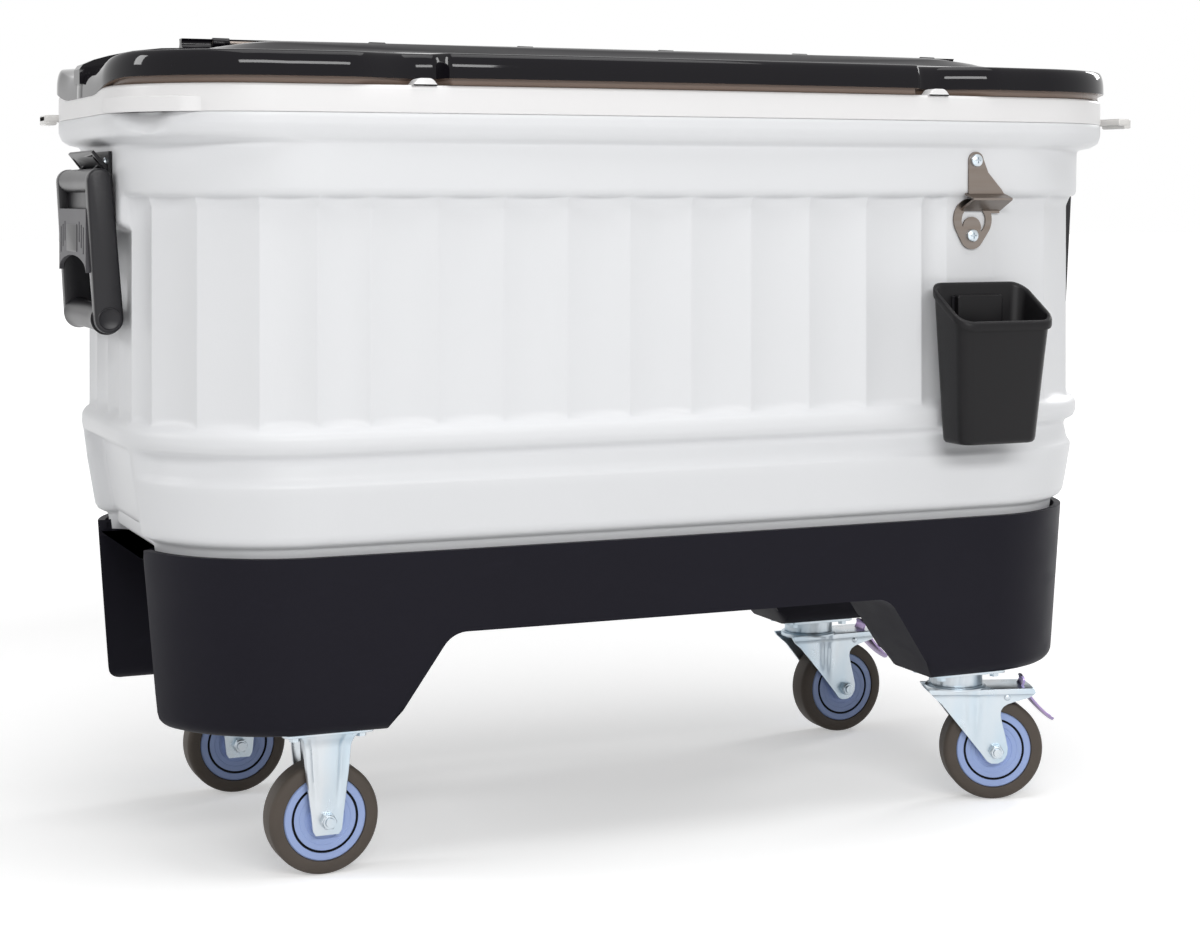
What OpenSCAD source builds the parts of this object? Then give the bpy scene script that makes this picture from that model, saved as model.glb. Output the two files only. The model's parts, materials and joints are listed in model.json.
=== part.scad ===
// Wheeled ice chest: an insulated tub on a legged plastic base with four casters, a
// lift-off frame with two smoked lids, swing handles, a bottle opener and a catch bin.
// +X runs along its length, -Y faces the user at the opener and the bin, +Z is up, and
// the origin lies on the ground under the middle of the base.

/* [Tub] */
// Length over the fluted walls
tub_len = 990; // [900:5:1100]
// Width over the fluted walls, at the middle of the front
tub_w = 452; // [400:4:520]
// Height of the white tub above its recessed foot
tub_h = 383; // [340:1:430]
// Height of the recessed foot that stands between base and tub
foot_h = 9; // [6:1:14]
// Corner radius of the fluted walls in plan
corner_r = 145; // [120:1:150]
// How far the long walls bow outwards
wall_bow = 4; // [2:0.5:8]
// Corner radius of the rim in plan
rim_r = 135; // [120:1:150]
// How far the rim bows outwards along its long sides
rim_bow = 12; // [6:1:16]
// How far the rim stands out from the fluted walls
rim_out = 26; // [20:1:30]
// Height of the rolled rim
rim_h = 25; // [20:1:32]
// Height of the smooth belt under the rim
belt_h = 49; // [40:1:60]
// How far the belt stands out
belt_out = 8; // [6:0.5:10]
// Height of the plain band at the bottom
band_h = 56; // [45:1:65]
// Height of the ledge's top above the tub's bottom
ledge_top = 105; // [98:1:115]
// How far the ledge stands out
ledge_out = 7.5; // [5:0.5:9]
// Width of one flute
flute_pitch = 62.2; // [50:0.1:75]
// Depth of one flute
flute_depth = 4.5; // [2:0.5:6]
// Centre of the plain ridge that carries the opener and the bin
ridge_x = 321; // [312:1:322]
// Width of that ridge
ridge_w = 56; // [50:1:62]
// Width of the recess in each end, between the legs
recess_w = 214; // [190:2:240]
// Depth of that recess
recess_depth = 18; // [10:1:22]

/* [Walls] */
// Distance from the fluted wall to the cold side of the liner
wall_t = 42; // [38:1:50]
// Thickness of the liner
liner_t = 4; // [3:0.5:5]
// Distance from the fluted wall to the foam
shell_t = 9; // [7:0.5:12]
// Thickness of the shell's floor
shell_floor = 8; // [6:1:12]
// Height of the cold floor above the tub's bottom
floor_rise = 44; // [42:1:50]
// Thickness of a divider
divider_t = 4; // [3:0.5:6]
// Distance of the dividers from the middle
divider_x = 150; // [100:5:200]
// Distance of the dividers' top below the tub's top
divider_drop = 39; // [12:1:120]
// Depth of the grooves that hold the dividers in the liner's floor
divider_seat = 1.5; // [1:0.5:2]

/* [Base] */
// Height of the base, from the leg bottoms to its top edge
base_h = 160; // [140:1:190]
// How far the base stays inside the fluted walls
base_inset = 8; // [6:1:11]
// How far the sides of the base slope in towards the bottom
base_draft = 10; // [4:1:14]
// Radius of the bottom edge
base_round = 18; // [8:1:22]
// Thickness of the base's walls
base_wall = 7; // [5:0.5:9]
// Height of the arches above the leg bottoms
arch_h = 85; // [70:1:95]
// Width of the long arches at the bottom
arch_bottom_w = 566; // [500:2:600]
// Width of the long arches at the top
arch_top_w = 452; // [400:2:480]
// Corner radius at the top of an arch
arch_r = 26; // [15:1:35]
// Width of the openings between the legs at the ends
end_gap_w = 210; // [180:2:240]

/* [Casters] */
// Wheel diameter
wheel_d = 102; // [90:1:110]
// Width of the tread
tread_w = 30; // [26:1:34]
// Diameter of the hub
hub_d = 76; // [66:1:80]
// Height from the ground to the leg bottoms
caster_h = 132; // [126:1:150]
// Distance of the casters from the ends of the base
caster_in_x = 153; // [140:1:170]
// Distance of the casters from the long sides of the base
caster_in_y = 62; // [56:1:70]
// Distance from the swivel axis to the axle
trail = 36; // [30:1:40]
// Angle at which the front swivel caster stands
front_swivel = -19; // [-30:1:30]
// Axle diameter
axle_d = 8; // [6:0.5:10]
// Thickness of the fork's sheet
fork_t = 3; // [2:0.5:4]
// Distance between the fork's cheeks
fork_gap = 38; // [36:1:42]
// Thickness of the mounting plates
plate_t = 3; // [2.5:0.5:4]
// Distance between the screws of a plate, along the chest
plate_pitch_x = 62; // [60:1:66]
// Distance between the screws of a plate, across the chest
plate_pitch_y = 46; // [44:1:48]

/* [Lids] */
// Height of the white lid frame
frame_h = 25; // [18:1:32]
// How far the lids stand out past the frame
lid_out = 5; // [3:0.5:7]
// Height of the lids' sides
lid_side_h = 29; // [24:1:36]
// Rise of the lids from their edge to the hinges
crown_h = 18; // [12:1:24]
// Thickness of the lids
lid_t = 4; // [3:0.5:5]
// Distance of the finger notches from the middle
notch_x = 258; // [230:1:280]
// Depth of the finger notches
notch_depth = 22; // [12:1:26]
// Hinge pin diameter
hinge_pin_d = 4; // [3:0.5:5]
// Width of the beam between the lids
beam_w = 28; // [26:1:32]

/* [Handles] */
// Width of a handle
handle_w = 160; // [140:2:180]
// Thickness of a handle's arms
arm_t = 14; // [10:1:16]
// Distance from the hinge down to the grip
handle_drop = 126; // [115:1:135]
// Radius of the hinge bar
bar_r = 11.5; // [10:0.5:12]
// Radius of the grip
grip_r = 13; // [11:0.5:14]
// Diameter of the hinge pin
handle_pin_d = 6; // [5:0.5:7]

/* [Opener and bin] */
// Height of the opener's lower screw above the belt's lower edge, downwards
opener_drop = 38; // [34:1:42]
// Thickness of the opener
opener_t = 2; // [1.5:0.5:2.5]
// Width of the bin at its front edge
bin_w = 106; // [90:1:110]
// Depth of the bin from back to front
bin_d = 62; // [50:1:70]
// Height of the bin at its back
bin_h = 156; // [130:1:160]
// How much lower the bin's front edge is
bin_slope = 38; // [20:1:45]
// Thickness of the bin's walls
bin_t = 2.5; // [2:0.5:3]

/* [Drain] */
// Outer diameter of the drain spout
spout_d = 24; // [20:1:28]
// Bore of the drain spout
spout_bore = 16; // [12:1:17]

/* [Hidden] */
$fn = 48;
// Running clearance on a radius, clearance between separate pieces, and a cut's overshoot
run_fit = 0.06;
gap = 0.3;
over = 1;

// Heights of the stack, from the ground up
base_top = caster_h + base_h;
tub_z = base_top + foot_h;
rim_top = tub_z + tub_h;
belt_z = rim_top - rim_h - belt_h;
frame_top = rim_top + frame_h;
foot_seat = 8;
foot_z = base_top - foot_seat;
cold_floor = tub_z + floor_rise;
arch_top = caster_h + arch_h;
lid_edge = frame_top + lid_side_h;
lid_top = lid_edge + crown_h;
hinge_z = lid_top + 1;

// Straight half lengths of the fluted walls, and the walk from mid front to mid end
side_half = tub_len/2 - corner_r;
end_half = tub_w/2 - wall_bow - corner_r;
corner_run = corner_r*PI/2;
half_run = side_half + corner_run + end_half;

// The flutes' edges along that walk: full flutes either side of the plain ridge
ridge_from = ridge_x - ridge_w/2;
ridge_to = ridge_x + ridge_w/2;
last_flute = ridge_from - flute_pitch/2;
least_flute = 0.35;
flutes_left = floor((half_run + last_flute)/flute_pitch - least_flute);
flutes_right = floor((half_run - ridge_to)/flute_pitch - least_flute);
flute_edges = concat([-half_run], [for (k = [flutes_left:-1:0]) last_flute - k*flute_pitch],
    [ridge_from], [for (k = [0:flutes_right]) ridge_to + k*flute_pitch], [half_run]);
flute_steps = 3;
fluted_walk = [for (i = [0:len(flute_edges) - 2]) for (j = [0:flute_steps - 1])
    let (t = j/flute_steps, step = flute_edges[i + 1] - flute_edges[i])
    [flute_edges[i] + t*step, flute_edges[i] == ridge_from ? 0 : 1 - pow(2*t - 1, 2)]];
// The same walk for plain outlines, with fewer points
side_steps = 8;
corner_steps = 8;
plain_walk = concat([-half_run],
    [for (i = [0:corner_steps]) -half_run + end_half + corner_run*i/corner_steps],
    [for (i = [1:side_steps - 1]) side_half*(2*i/side_steps - 1)],
    [for (i = [0:corner_steps]) side_half + corner_run*i/corner_steps]);

function smooth(t) = let (c = min(max(t, 0), 1)) c*c*(3 - 2*c);
function mix(a, b, t) = a + (b - a)*t;

// A point of a rounded plan with bowed long sides: s is the walk along the fluted wall
function plan_spot(s, half_x, half_y, r, bow) =
    let (sx = half_x - r, sy = half_y - bow - r, t = abs(s), side = s < 0 ? -1 : 1,
        kept = 0.8*side_half, angle = (t - side_half)/corner_run*90,
        x = t <= kept ? t : kept + (t - kept)*(sx - kept)/(side_half - kept))
    t <= side_half ? [side*x, -(half_y - bow*pow(x/sx, 2))]
    : angle <= 90 ? [side*(sx + r*sin(angle)), -(sy + r*cos(angle))]
    : [side*half_x, -sy + sy*(t - side_half - corner_run)/end_half];
// A plan at a distance out from the fluted walls: crest 0 is the wall's shape, 1 the rim's
least_r = 12;
function plan_point(s, out, crest = 0) =
    plan_spot(s, tub_len/2 + out, tub_w/2 + out*(1 - 0.2*crest),
        max(mix(corner_r + out, rim_r + out - rim_out, crest), least_r), mix(wall_bow, rim_bow, crest));
// The second half of every outline is the first one turned by half a turn
function whole(half) = concat(half, [for (p = half) [for (i = [0:len(p) - 1]) i < 2 ? -p[i] : p[i]]]);
function plan(out, crest = 0) = whole([for (s = plain_walk) plan_point(s, out, crest)]);
module plate(z0, z1, out, crest = 0) {
    translate([0, 0, z0]) linear_extrude(z1 - z0) polygon(plan(out, crest));
}
// The front face of a level at x, and its slope in plan
function face_y(x, out) = -(tub_w/2 + out - wall_bow*pow(x/side_half, 2));
function face_turn(x) = atan(2*wall_bow*x/pow(side_half, 2));
module on_face(x, out, z) {
    translate([x, face_y(x, out), z]) rotate([0, 0, face_turn(x)]) children();
}

// One closed skin through a list of rings with the same number of points, closed at both
// ends by a fan round the ring's middle
function middle(ring) = [for (i = [0:2]) (min([for (p = ring) p[i]]) + max([for (p = ring) p[i]]))/2];
module skin(rings) {
    n = len(rings[0]);
    last = (len(rings) - 1)*n;
    first_middle = last + n;
    polyhedron(points = concat([for (ring = rings) for (p = ring) p],
            [middle(rings[0]), middle(rings[len(rings) - 1])]),
        faces = concat([for (i = [0:n - 1]) [first_middle, i, (i + 1)%n]],
            [for (i = [0:n - 1]) [first_middle + 1, last + (i + 1)%n, last + i]],
            [for (k = [0:len(rings) - 2]) for (i = [0:n - 1]) let (j = (i + 1)%n)
                [k*n + i, (k + 1)*n + i, (k + 1)*n + j, k*n + j]]));
}

// Two or four like things about the middle
module both_sides() {
    children();
    rotate([0, 0, 180]) children();
}
module all_corners(x, y) {
    for (sx = [-1, 1], sy = [-1, 1]) translate([sx*x, sy*y, 0]) children();
}
module rounded(w, h, r) {
    square([w - 2*r, h], center = true);
    square([w, h - 2*r], center = true);
    for (sx = [-1, 1], sy = [-1, 1]) translate([sx*(w/2 - r), sy*(h/2 - r)]) circle(r = r);
}
module bore(d, z0, z1) {
    translate([0, 0, z0]) cylinder(d = d, h = z1 - z0);
}
module ring(r_out, r_in, h) {
    rotate_extrude() translate([r_in, 0]) square([r_out - r_in, h]);
}

// Base: a tray with four hollow legs, an arch along each side and a gap at each end
caster_x = tub_len/2 - base_inset - caster_in_x;
caster_y = tub_w/2 - base_inset + 2 - caster_in_y;
boss_x = 150;
boss_y = 110;
boss_d = 28;
base_screw_d = 6;
leg_floor = 8;
deck_t = 6;
ledge_in = 11;
module base_body() {
    steps = [[0, base_round], [base_round*0.3, base_round*0.29], [base_round, 0]];
    hull() {
        for (s = steps) translate([0, 0, caster_h + s[0]])
            linear_extrude(0.01) polygon(plan(-base_inset - base_draft - s[1]));
        translate([0, 0, base_top - 0.01]) linear_extrude(0.01) polygon(plan(-base_inset));
    }
}
module arch_shape(bottom, top, h, r) {
    slope = (bottom - top)/2/h;
    lean = atan(slope);
    // Where the corner's arc touches the slope and the top
    tangent = r*tan((90 - lean)/2);
    arc = [for (i = [0:6]) let (a = (90 - lean)*i/6)
        [top/2 - tangent + r*sin(a), h - r + r*cos(a)]];
    flip = [for (i = [6:-1:0]) [-arc[i][0], arc[i][1]]];
    foot = bottom/2 + slope*over;
    polygon(concat([[foot, -over], [-foot, -over]], flip, arc));
}
module leg_pocket() {
    inner_x = arch_bottom_w/2 + base_wall + 4;
    inner_y = end_gap_w/2 + base_wall;
    inset = -base_inset - base_draft - base_round - 2;
    translate([0, 0, caster_h + leg_floor]) linear_extrude(arch_h - leg_floor + deck_t)
        intersection() {
            polygon(plan(inset));
            for (sx = [0, 1], sy = [0, 1]) mirror([sx, 0]) mirror([0, sy])
                translate([inner_x, inner_y]) square([tub_len, tub_w]);
        }
}
module wheel_base() {
    color([0.13, 0.13, 0.16])
    difference() {
        union() {
            difference() {
                base_body();
                plate(arch_top + deck_t, foot_z - 6, -base_inset - base_draft - 1);
                plate(foot_z - 6 - over, foot_z + over, -base_inset - base_draft - ledge_in);
                plate(foot_z, base_top + over, -base_inset - base_wall);
                leg_pocket();
            }
            all_corners(boss_x, boss_y) bore(boss_d, arch_top, foot_z);
        }
        translate([0, tub_w, caster_h]) rotate([90, 0, 0]) linear_extrude(2*tub_w)
            arch_shape(arch_bottom_w, arch_top_w, arch_h, arch_r);
        translate([-tub_len, 0, caster_h]) rotate([90, 0, 90]) linear_extrude(2*tub_len)
            arch_shape(end_gap_w + 12, end_gap_w, arch_h, arch_r);
        both_sides() translate([tub_len/2, 0, base_top])
            cube([2*(recess_depth - base_inset + 2*base_wall), end_gap_w, 2*foot_seat], center = true);
        all_corners(boss_x, boss_y) bore(base_screw_d + 0.6, arch_top - over, base_top);
        all_corners(caster_x, caster_y) all_corners(plate_pitch_x/2, plate_pitch_y/2)
            bore(caster_screw_d - 0.6, caster_h - over, caster_h + leg_floor + over);
    }
}
module pan_screw(d, head_d, head_h, length) {
    // Head above z 0 and shank below it
    difference() {
        union() {
            rotate_extrude() intersection() {
                translate([0, head_h - head_d]) circle(r = head_d);
                square([head_d/2, head_h]);
            }
            translate([0, 0, -length]) cylinder(d = d, h = length);
        }
        translate([0, 0, head_h]) for (a = [0, 90]) rotate([0, 0, a])
            cube([head_d*0.5, head_d*0.12, head_h], center = true);
    }
}
module base_screws() {
    color([0.7, 0.7, 0.72])
    all_corners(boss_x, boss_y) translate([0, 0, arch_top]) rotate([180, 0, 0])
        pan_screw(base_screw_d, 12, 4, foot_z - arch_top + shell_floor - 1);
}

// Tub shell: rings up the outside, over the rim and down the inside
groove_stop = 66;
groove_fade = 12;
function groove_share(s) =
    1 - smooth(((abs(s) - side_half)/corner_run*90 - groove_stop)/groove_fade);
recess_edge = 16;
function recess_share(s) = 1 - smooth((half_run - abs(s) - recess_w/2 + recess_edge)/recess_edge);
scoop_mid = -(side_half + corner_run*0.64);
scoop_half = corner_run*0.2;
scoop_depth = 12;
function scoop_share(s) = 1 - smooth(abs(s - scoop_mid)/scoop_half);
band_top = tub_z + band_h;
ledge_z = tub_z + ledge_top;
// Rows of the outside: height, out on the walls, out on the lobes, flute, recess, crest, scoop
shell_rows = [
    [foot_z, -20, -20, 0, 1, 0, 0],
    [tub_z - 1, -18, -18, 0, 1, 0, 0],
    [tub_z, -14, -14, 0, 1, 0, 0],
    [tub_z + 3, -8.5, -8.5, 0, 1, 0, 0],
    [tub_z + 8, -5.5, -5.5, 0, 1, 0, 0],
    [band_top - 6, 1.5, 1.5, 0, 1, 0, 0],
    [band_top - 1, 2.2, 2.5, 0, 1, 0, 0],
    [band_top + 4, -1, 3, 0, 1, 0, 0],
    [ledge_z - 30, -4.5, 5, 0, 1, 0, 0],
    [ledge_z - 25, -2.5, 5.5, 0, 0.45, 0, 0],
    [ledge_z - 21, ledge_out - 2, ledge_out - 1, 0, 0, 0, 0],
    [ledge_z - 15, ledge_out, ledge_out, 0, 0, 0, 0],
    [ledge_z - 7, ledge_out - 0.5, ledge_out - 0.5, 0, 0, 0, 0],
    [ledge_z - 2, ledge_out - 3.5, ledge_out - 3.5, 0, 0, 0, 0],
    [ledge_z, 0.3, 0.3, 0.2, 0, 0, 0],
    [ledge_z + 6, 0, 0, 1, 0, 0, 0],
    [belt_z - 13, 0, 0, 1, 0, 0, 0],
    [belt_z - 5, 0, 0, 0.7, 0, 0, 0],
    [belt_z, 0.3, 0.3, 0, 0, 0, 0],
    [belt_z + 1, belt_out - 3, belt_out - 3, 0, 0, 0, 0],
    [belt_z + 5, belt_out, belt_out, 0, 0, 0, 0],
    [belt_z + belt_h - 6, belt_out + 0.5, belt_out + 0.5, 0, 0, 0, 0],
    [belt_z + belt_h, belt_out + 4, belt_out + 4, 0, 0, 0.2, 0],
    [belt_z + belt_h + 3, rim_out - 8, rim_out - 8, 0, 0, 0.7, 0],
    [belt_z + belt_h + 8, rim_out - 2.5, rim_out - 2.5, 0, 0, 1, 0.5],
    [rim_top - 10, rim_out, rim_out, 0, 0, 1, 1],
    [rim_top - 2, rim_out, rim_out, 0, 0, 1, 1],
    [rim_top, rim_out - 1.5, rim_out - 1.5, 0, 0, 1, 1]];
function shell_point(row, walk) =
    let (s = walk[0], out = mix(row[2], row[1], groove_share(s)) - flute_depth*row[3]*walk[1]
        - recess_depth*row[4]*recess_share(s) - scoop_depth*row[6]*scoop_share(s))
    concat(plan_point(s, out, row[5]), [row[0]]);
// Rows of the inside: height and distance in from the fluted walls
flange_t = 8;
foam_in = 27;
foam_step = ledge_z - 8;
shell_inside = [
    [rim_top, -wall_t + liner_t],
    [rim_top - flange_t, -wall_t + liner_t],
    [rim_top - flange_t, -shell_t],
    [ledge_z, -shell_t],
    [foam_step, -foam_in],
    [foot_z + shell_floor, -foam_in]];
module tub_shell() {
    color([0.91, 0.91, 0.92])
    difference() {
        skin(concat([for (row = shell_rows) whole([for (w = fluted_walk) shell_point(row, w)])],
            [for (row = shell_inside) whole([for (w = fluted_walk)
                concat(plan_point(w[0], row[1]), [row[0]])])]));
        drain_hole();
    }
}
module insulation_foam() {
    color([0.95, 0.9, 0.7])
    difference() {
        union() {
            plate(foot_z + shell_floor, foam_step, -foam_in);
            plate(foam_step, rim_top - flange_t, -shell_t);
        }
        plate(cold_floor - liner_t, rim_top, -wall_t + liner_t);
        drain_hole();
    }
}
module tub_liner() {
    color([0.93, 0.93, 0.94])
    difference() {
        plate(cold_floor - liner_t, rim_top, -wall_t + liner_t - gap);
        plate(cold_floor, rim_top + over, -wall_t);
        for (side = [-1, 1]) translate([side*divider_x, 0, cold_floor])
            cube([divider_t + 2*gap, tub_w - 2*wall_t + liner_t, 2*divider_seat], center = true);
        drain_hole();
    }
}
divider_hole_d = 24;
module divider() {
    half = tub_w/2 - wall_t - wall_bow - gap;
    h = rim_top - divider_drop - cold_floor + divider_seat;
    translate([-divider_t/2, -half, cold_floor - divider_seat]) difference() {
        cube([divider_t, 2*half, h]);
        for (y = [0.25, 0.75], z = [0.2, 0.8]) translate([-over, 2*half*y, h*z])
            rotate([0, 90, 0]) cylinder(d = divider_hole_d, h = divider_t + 2*over);
    }
}
module divider_left() {
    color([0.85, 0.87, 0.9]) translate([-divider_x, 0, 0]) divider();
}
module divider_right() {
    color([0.85, 0.87, 0.9]) translate([divider_x, 0, 0]) divider();
}

// Drain in the recess of the right end, level with the cold floor
drain_z = cold_floor + spout_d/2;
recess_out = 5.5;
flange_x = tub_len/2 + recess_out - recess_depth + gap;
module drain_hole() {
    translate([0, 0, drain_z]) rotate([0, 90, 0]) cylinder(d = spout_d + 2*gap, h = tub_len);
}
spout_reach = 16;
module drain_spout() {
    inside = tub_len/2 - wall_t;
    color([0.2, 0.2, 0.22])
    translate([0, 0, drain_z]) rotate([0, 90, 0]) difference() {
        union() {
            translate([0, 0, inside]) cylinder(d = spout_d, h = flange_x + spout_reach - inside);
            translate([0, 0, flange_x]) cylinder(d = spout_d + 14, h = 3);
        }
        translate([0, 0, inside - over]) cylinder(d = spout_bore, h = tub_len);
    }
}
module drain_plug() {
    tip = flange_x + spout_reach;
    color([0.3, 0.3, 0.32])
    translate([0, 0, drain_z]) rotate([0, 90, 0]) {
        translate([0, 0, tip - 20]) cylinder(d = spout_bore - 2*run_fit, h = 20 + gap + over);
        translate([0, 0, tip + gap]) cylinder(d = spout_d - 4, h = 4);
        translate([0, 0, tip + gap]) translate([0, 0, 7]) cube([3, spout_d - 8, 8], center = true);
    }
}

// Lid frame on the rim, with a lip that drops into the liner
lip_drop = 8;
frame_bar = 48;
module lid_frame() {
    color([0.93, 0.93, 0.94])
    difference() {
        union() {
            plate(rim_top + gap, frame_top - 3, rim_out, 1);
            plate(frame_top - 3 - over, frame_top, rim_out - 3, 1);
            plate(rim_top - lip_drop, rim_top + over, -wall_t - gap);
            both_sides() finger_flange();
        }
        difference() {
            plate(rim_top - lip_drop - over, frame_top + over, -wall_t - gap - 5);
            for (side = [-1, 1]) translate([side*(tub_len/2 - wall_t), 0, frame_top])
                cube([2*frame_bar, beam_w + 20, 2*frame_h], center = true);
        }
    }
}
// A thicker lower edge over the finger scoop
module finger_flange() {
    centre = plan_spot(scoop_mid, tub_len/2 + rim_out, tub_w/2 + 0.8*rim_out, rim_r, rim_bow);
    translate([0, 0, rim_top + gap]) linear_extrude(9) intersection() {
        polygon(plan(rim_out + 4, 1));
        translate([centre[0], centre[1]]) square([78, 78], center = true);
    }
}
tab_w = 40;
tab_x = tub_len/2 + rim_out + 20;
tab_y = tub_w/2 - 68;
module frame_tab() {
    for (level = [[rim_top + gap, 7, 0], [rim_top - 5, 5 + gap, gap + 0.4]])
        translate([0, 0, level[0]]) linear_extrude(level[1]) difference() {
            hull() {
                translate([tab_x - 6, -tab_y - tab_w/2 + 6]) circle(r = 6);
                translate([tab_x - 6, -tab_y + tab_w/2 - 6]) circle(r = 6);
                translate([tub_len/2 - 60, -tab_y]) square([2, tab_w], center = true);
            }
            polygon(plan(rim_out + level[2], 1));
        }
}
module frame_tabs() {
    color([0.88, 0.88, 0.86]) both_sides() frame_tab();
}

// Smoked lids, hinged on a beam along the middle
lid_reach = rim_out + lid_out;
lid_back = beam_w/2 + 0.5;
hinge_y = 9.5;
barrel_r = 4.8;
groove_r = barrel_r + 0.5;
hinge_run = tub_len - 170;
knuckle_len = 60;
knuckles = [for (i = [-2:2]) i*hinge_run*0.212];
lug_len = 16;
lugs = [for (i = [-2.5:1:2.5]) i*hinge_run*0.19];
flange_in = 7;
flange_h = 6;
// How far the beam's top stays below the lids, to clear the knuckles
beam_drop = lid_top - hinge_z + groove_r + 0.2;
rounding = [[lid_side_h - 9, 0], [lid_side_h - 3, 2.5], [lid_side_h, flange_in]];
crown_steps = [[0, 7], [0.26, 30], [0.48, 60], [0.76, 110], [0.94, 170], [1, 235]];
// How much less the crown draws in at the ends than along the sides
end_share = 0.45;
function lid_half(inset) = tub_len/2 + lid_reach - end_share*inset;
function lid_plan(inset) = let (k = lid_half(inset)/lid_half(inset/end_share))
    [for (p = plan(lid_reach - inset, 1)) [k*p[0], p[1]]];
module half_plan() {
    translate([-tub_len, -tub_len - lid_back]) square([2*tub_len, tub_len]);
}
module notch_shape(grow) {
    deep = tub_w/2 + 0.8*lid_reach - notch_depth;
    step = 3;
    ramp = 46;
    for (side = [-1, 1]) offset(delta = grow) polygon([
        [side*(notch_x - 16), -deep - notch_depth - 12], [side*(notch_x - 16 + step), -deep],
        [side*(notch_x + 8), -deep], [side*(notch_x + ramp), -deep - notch_depth*0.75],
        [side*(notch_x + ramp + 30), -deep - notch_depth - 12]]);
}
// The lid's outside, or its hollow when shrunk by the wall
module lid_form(shrink, foot) {
    translate([0, 0, foot]) linear_extrude(frame_top + lid_side_h - 9 - shrink - foot) intersection() {
        polygon(plan(lid_reach - (shrink > 0 ? flange_in + shrink : 0), 1));
        offset(delta = -shrink) half_plan();
    }
    hull() for (step = concat(rounding, [for (c = crown_steps) [lid_side_h + c[0]*crown_h, c[1]]]))
        translate([0, 0, frame_top + step[0] - shrink - 0.01]) linear_extrude(0.01) intersection() {
            polygon(lid_plan(step[1] + (shrink > 0 ? flange_in + shrink : 0)));
            offset(delta = -shrink) half_plan();
        }
}
module lid() {
    foot = frame_top + gap;
    difference() {
        lid_form(0, foot);
        translate([0, 0, foot - over]) linear_extrude(flange_h + over) difference() {
            square(2*tub_len, center = true);
            polygon(plan(lid_reach - flange_in, 1));
        }
        translate([0, 0, foot - over]) linear_extrude(lid_side_h + crown_h) notch_shape(0);
        difference() {
            lid_form(lid_t, foot - over);
            translate([0, 0, foot - over]) linear_extrude(lid_side_h + crown_h) notch_shape(lid_t);
        }
        for (x = lugs) translate([x - lug_len/2 - over, -lid_back - 3, hinge_z - groove_r - 1.5])
            cube([lug_len + 2*over, 10, 20]);
        lid_pin_bore();
    }
    difference() {
        for (x = knuckles) translate([x - knuckle_len/2, 0, 0]) {
            translate([0, -hinge_y, hinge_z]) rotate([0, 90, 0]) cylinder(r = barrel_r, h = knuckle_len);
            translate([0, -lid_back - 1, hinge_z - barrel_r])
                cube([knuckle_len, lid_back + 1 - hinge_y, barrel_r - 1.5]);
        }
        lid_pin_bore();
    }
}
module lid_pin_bore() {
    translate([-tub_len/2, -hinge_y, hinge_z]) rotate([0, 90, 0])
        cylinder(d = hinge_pin_d + 2*run_fit, h = tub_len);
}
module front_lid() {
    color([0.12, 0.11, 0.13, 0.9]) lid();
}
module back_lid() {
    color([0.12, 0.11, 0.13, 0.9]) rotate([0, 0, 180]) lid();
}
module hinge_pin() {
    length = hinge_run*0.95 + lug_len;
    translate([-length/2, -hinge_y, hinge_z]) rotate([0, 90, 0]) cylinder(d = hinge_pin_d, h = length);
}
module front_hinge_pin() {
    color([0.75, 0.75, 0.77]) hinge_pin();
}
module back_hinge_pin() {
    color([0.75, 0.75, 0.77]) rotate([0, 0, 180]) hinge_pin();
}
module hinge_beam() {
    half = lid_half(0) - 2;
    top = [for (c = crown_steps) [lid_half(c[1]) - 2, lid_edge + c[0]*crown_h - beam_drop]];
    side = concat([[half, frame_top + flange_h + gap], [half, frame_top + lid_side_h - 9]], top);
    outline = concat([[half - flange_in, frame_top], [half - flange_in, frame_top + flange_h + gap]], side);
    shape = concat(outline, [for (i = [len(outline) - 1:-1:0]) [-outline[i][0], outline[i][1]]]);
    ridge = hinge_run + 2*lug_len;
    color([0.12, 0.11, 0.13])
    difference() {
        union() {
            difference() {
                union() {
                    rotate([90, 0, 0]) linear_extrude(beam_w, center = true) polygon(shape);
                    translate([-ridge/2, -hinge_y, lid_top - 12]) cube([ridge, 2*hinge_y, 12 + barrel_r]);
                }
                for (side = [-1, 1]) translate([-ridge/2 - over, side*hinge_y, hinge_z]) rotate([0, 90, 0])
                    cylinder(r = groove_r, h = ridge + 2*over);
            }
            for (x = lugs, side = [-1, 1]) translate([x - lug_len/2, side*hinge_y, hinge_z])
                rotate([0, 90, 0]) cylinder(r = barrel_r, h = lug_len);
            for (x = lugs) translate([x - lug_len/2, -hinge_y, hinge_z - groove_r - 2])
                cube([lug_len, 2*hinge_y, groove_r + 2]);
        }
        for (side = [-1, 1]) translate([-tub_len/2, side*hinge_y, hinge_z]) rotate([0, 90, 0])
            cylinder(d = hinge_pin_d + 2*run_fit, h = tub_len);
    }
}

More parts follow.
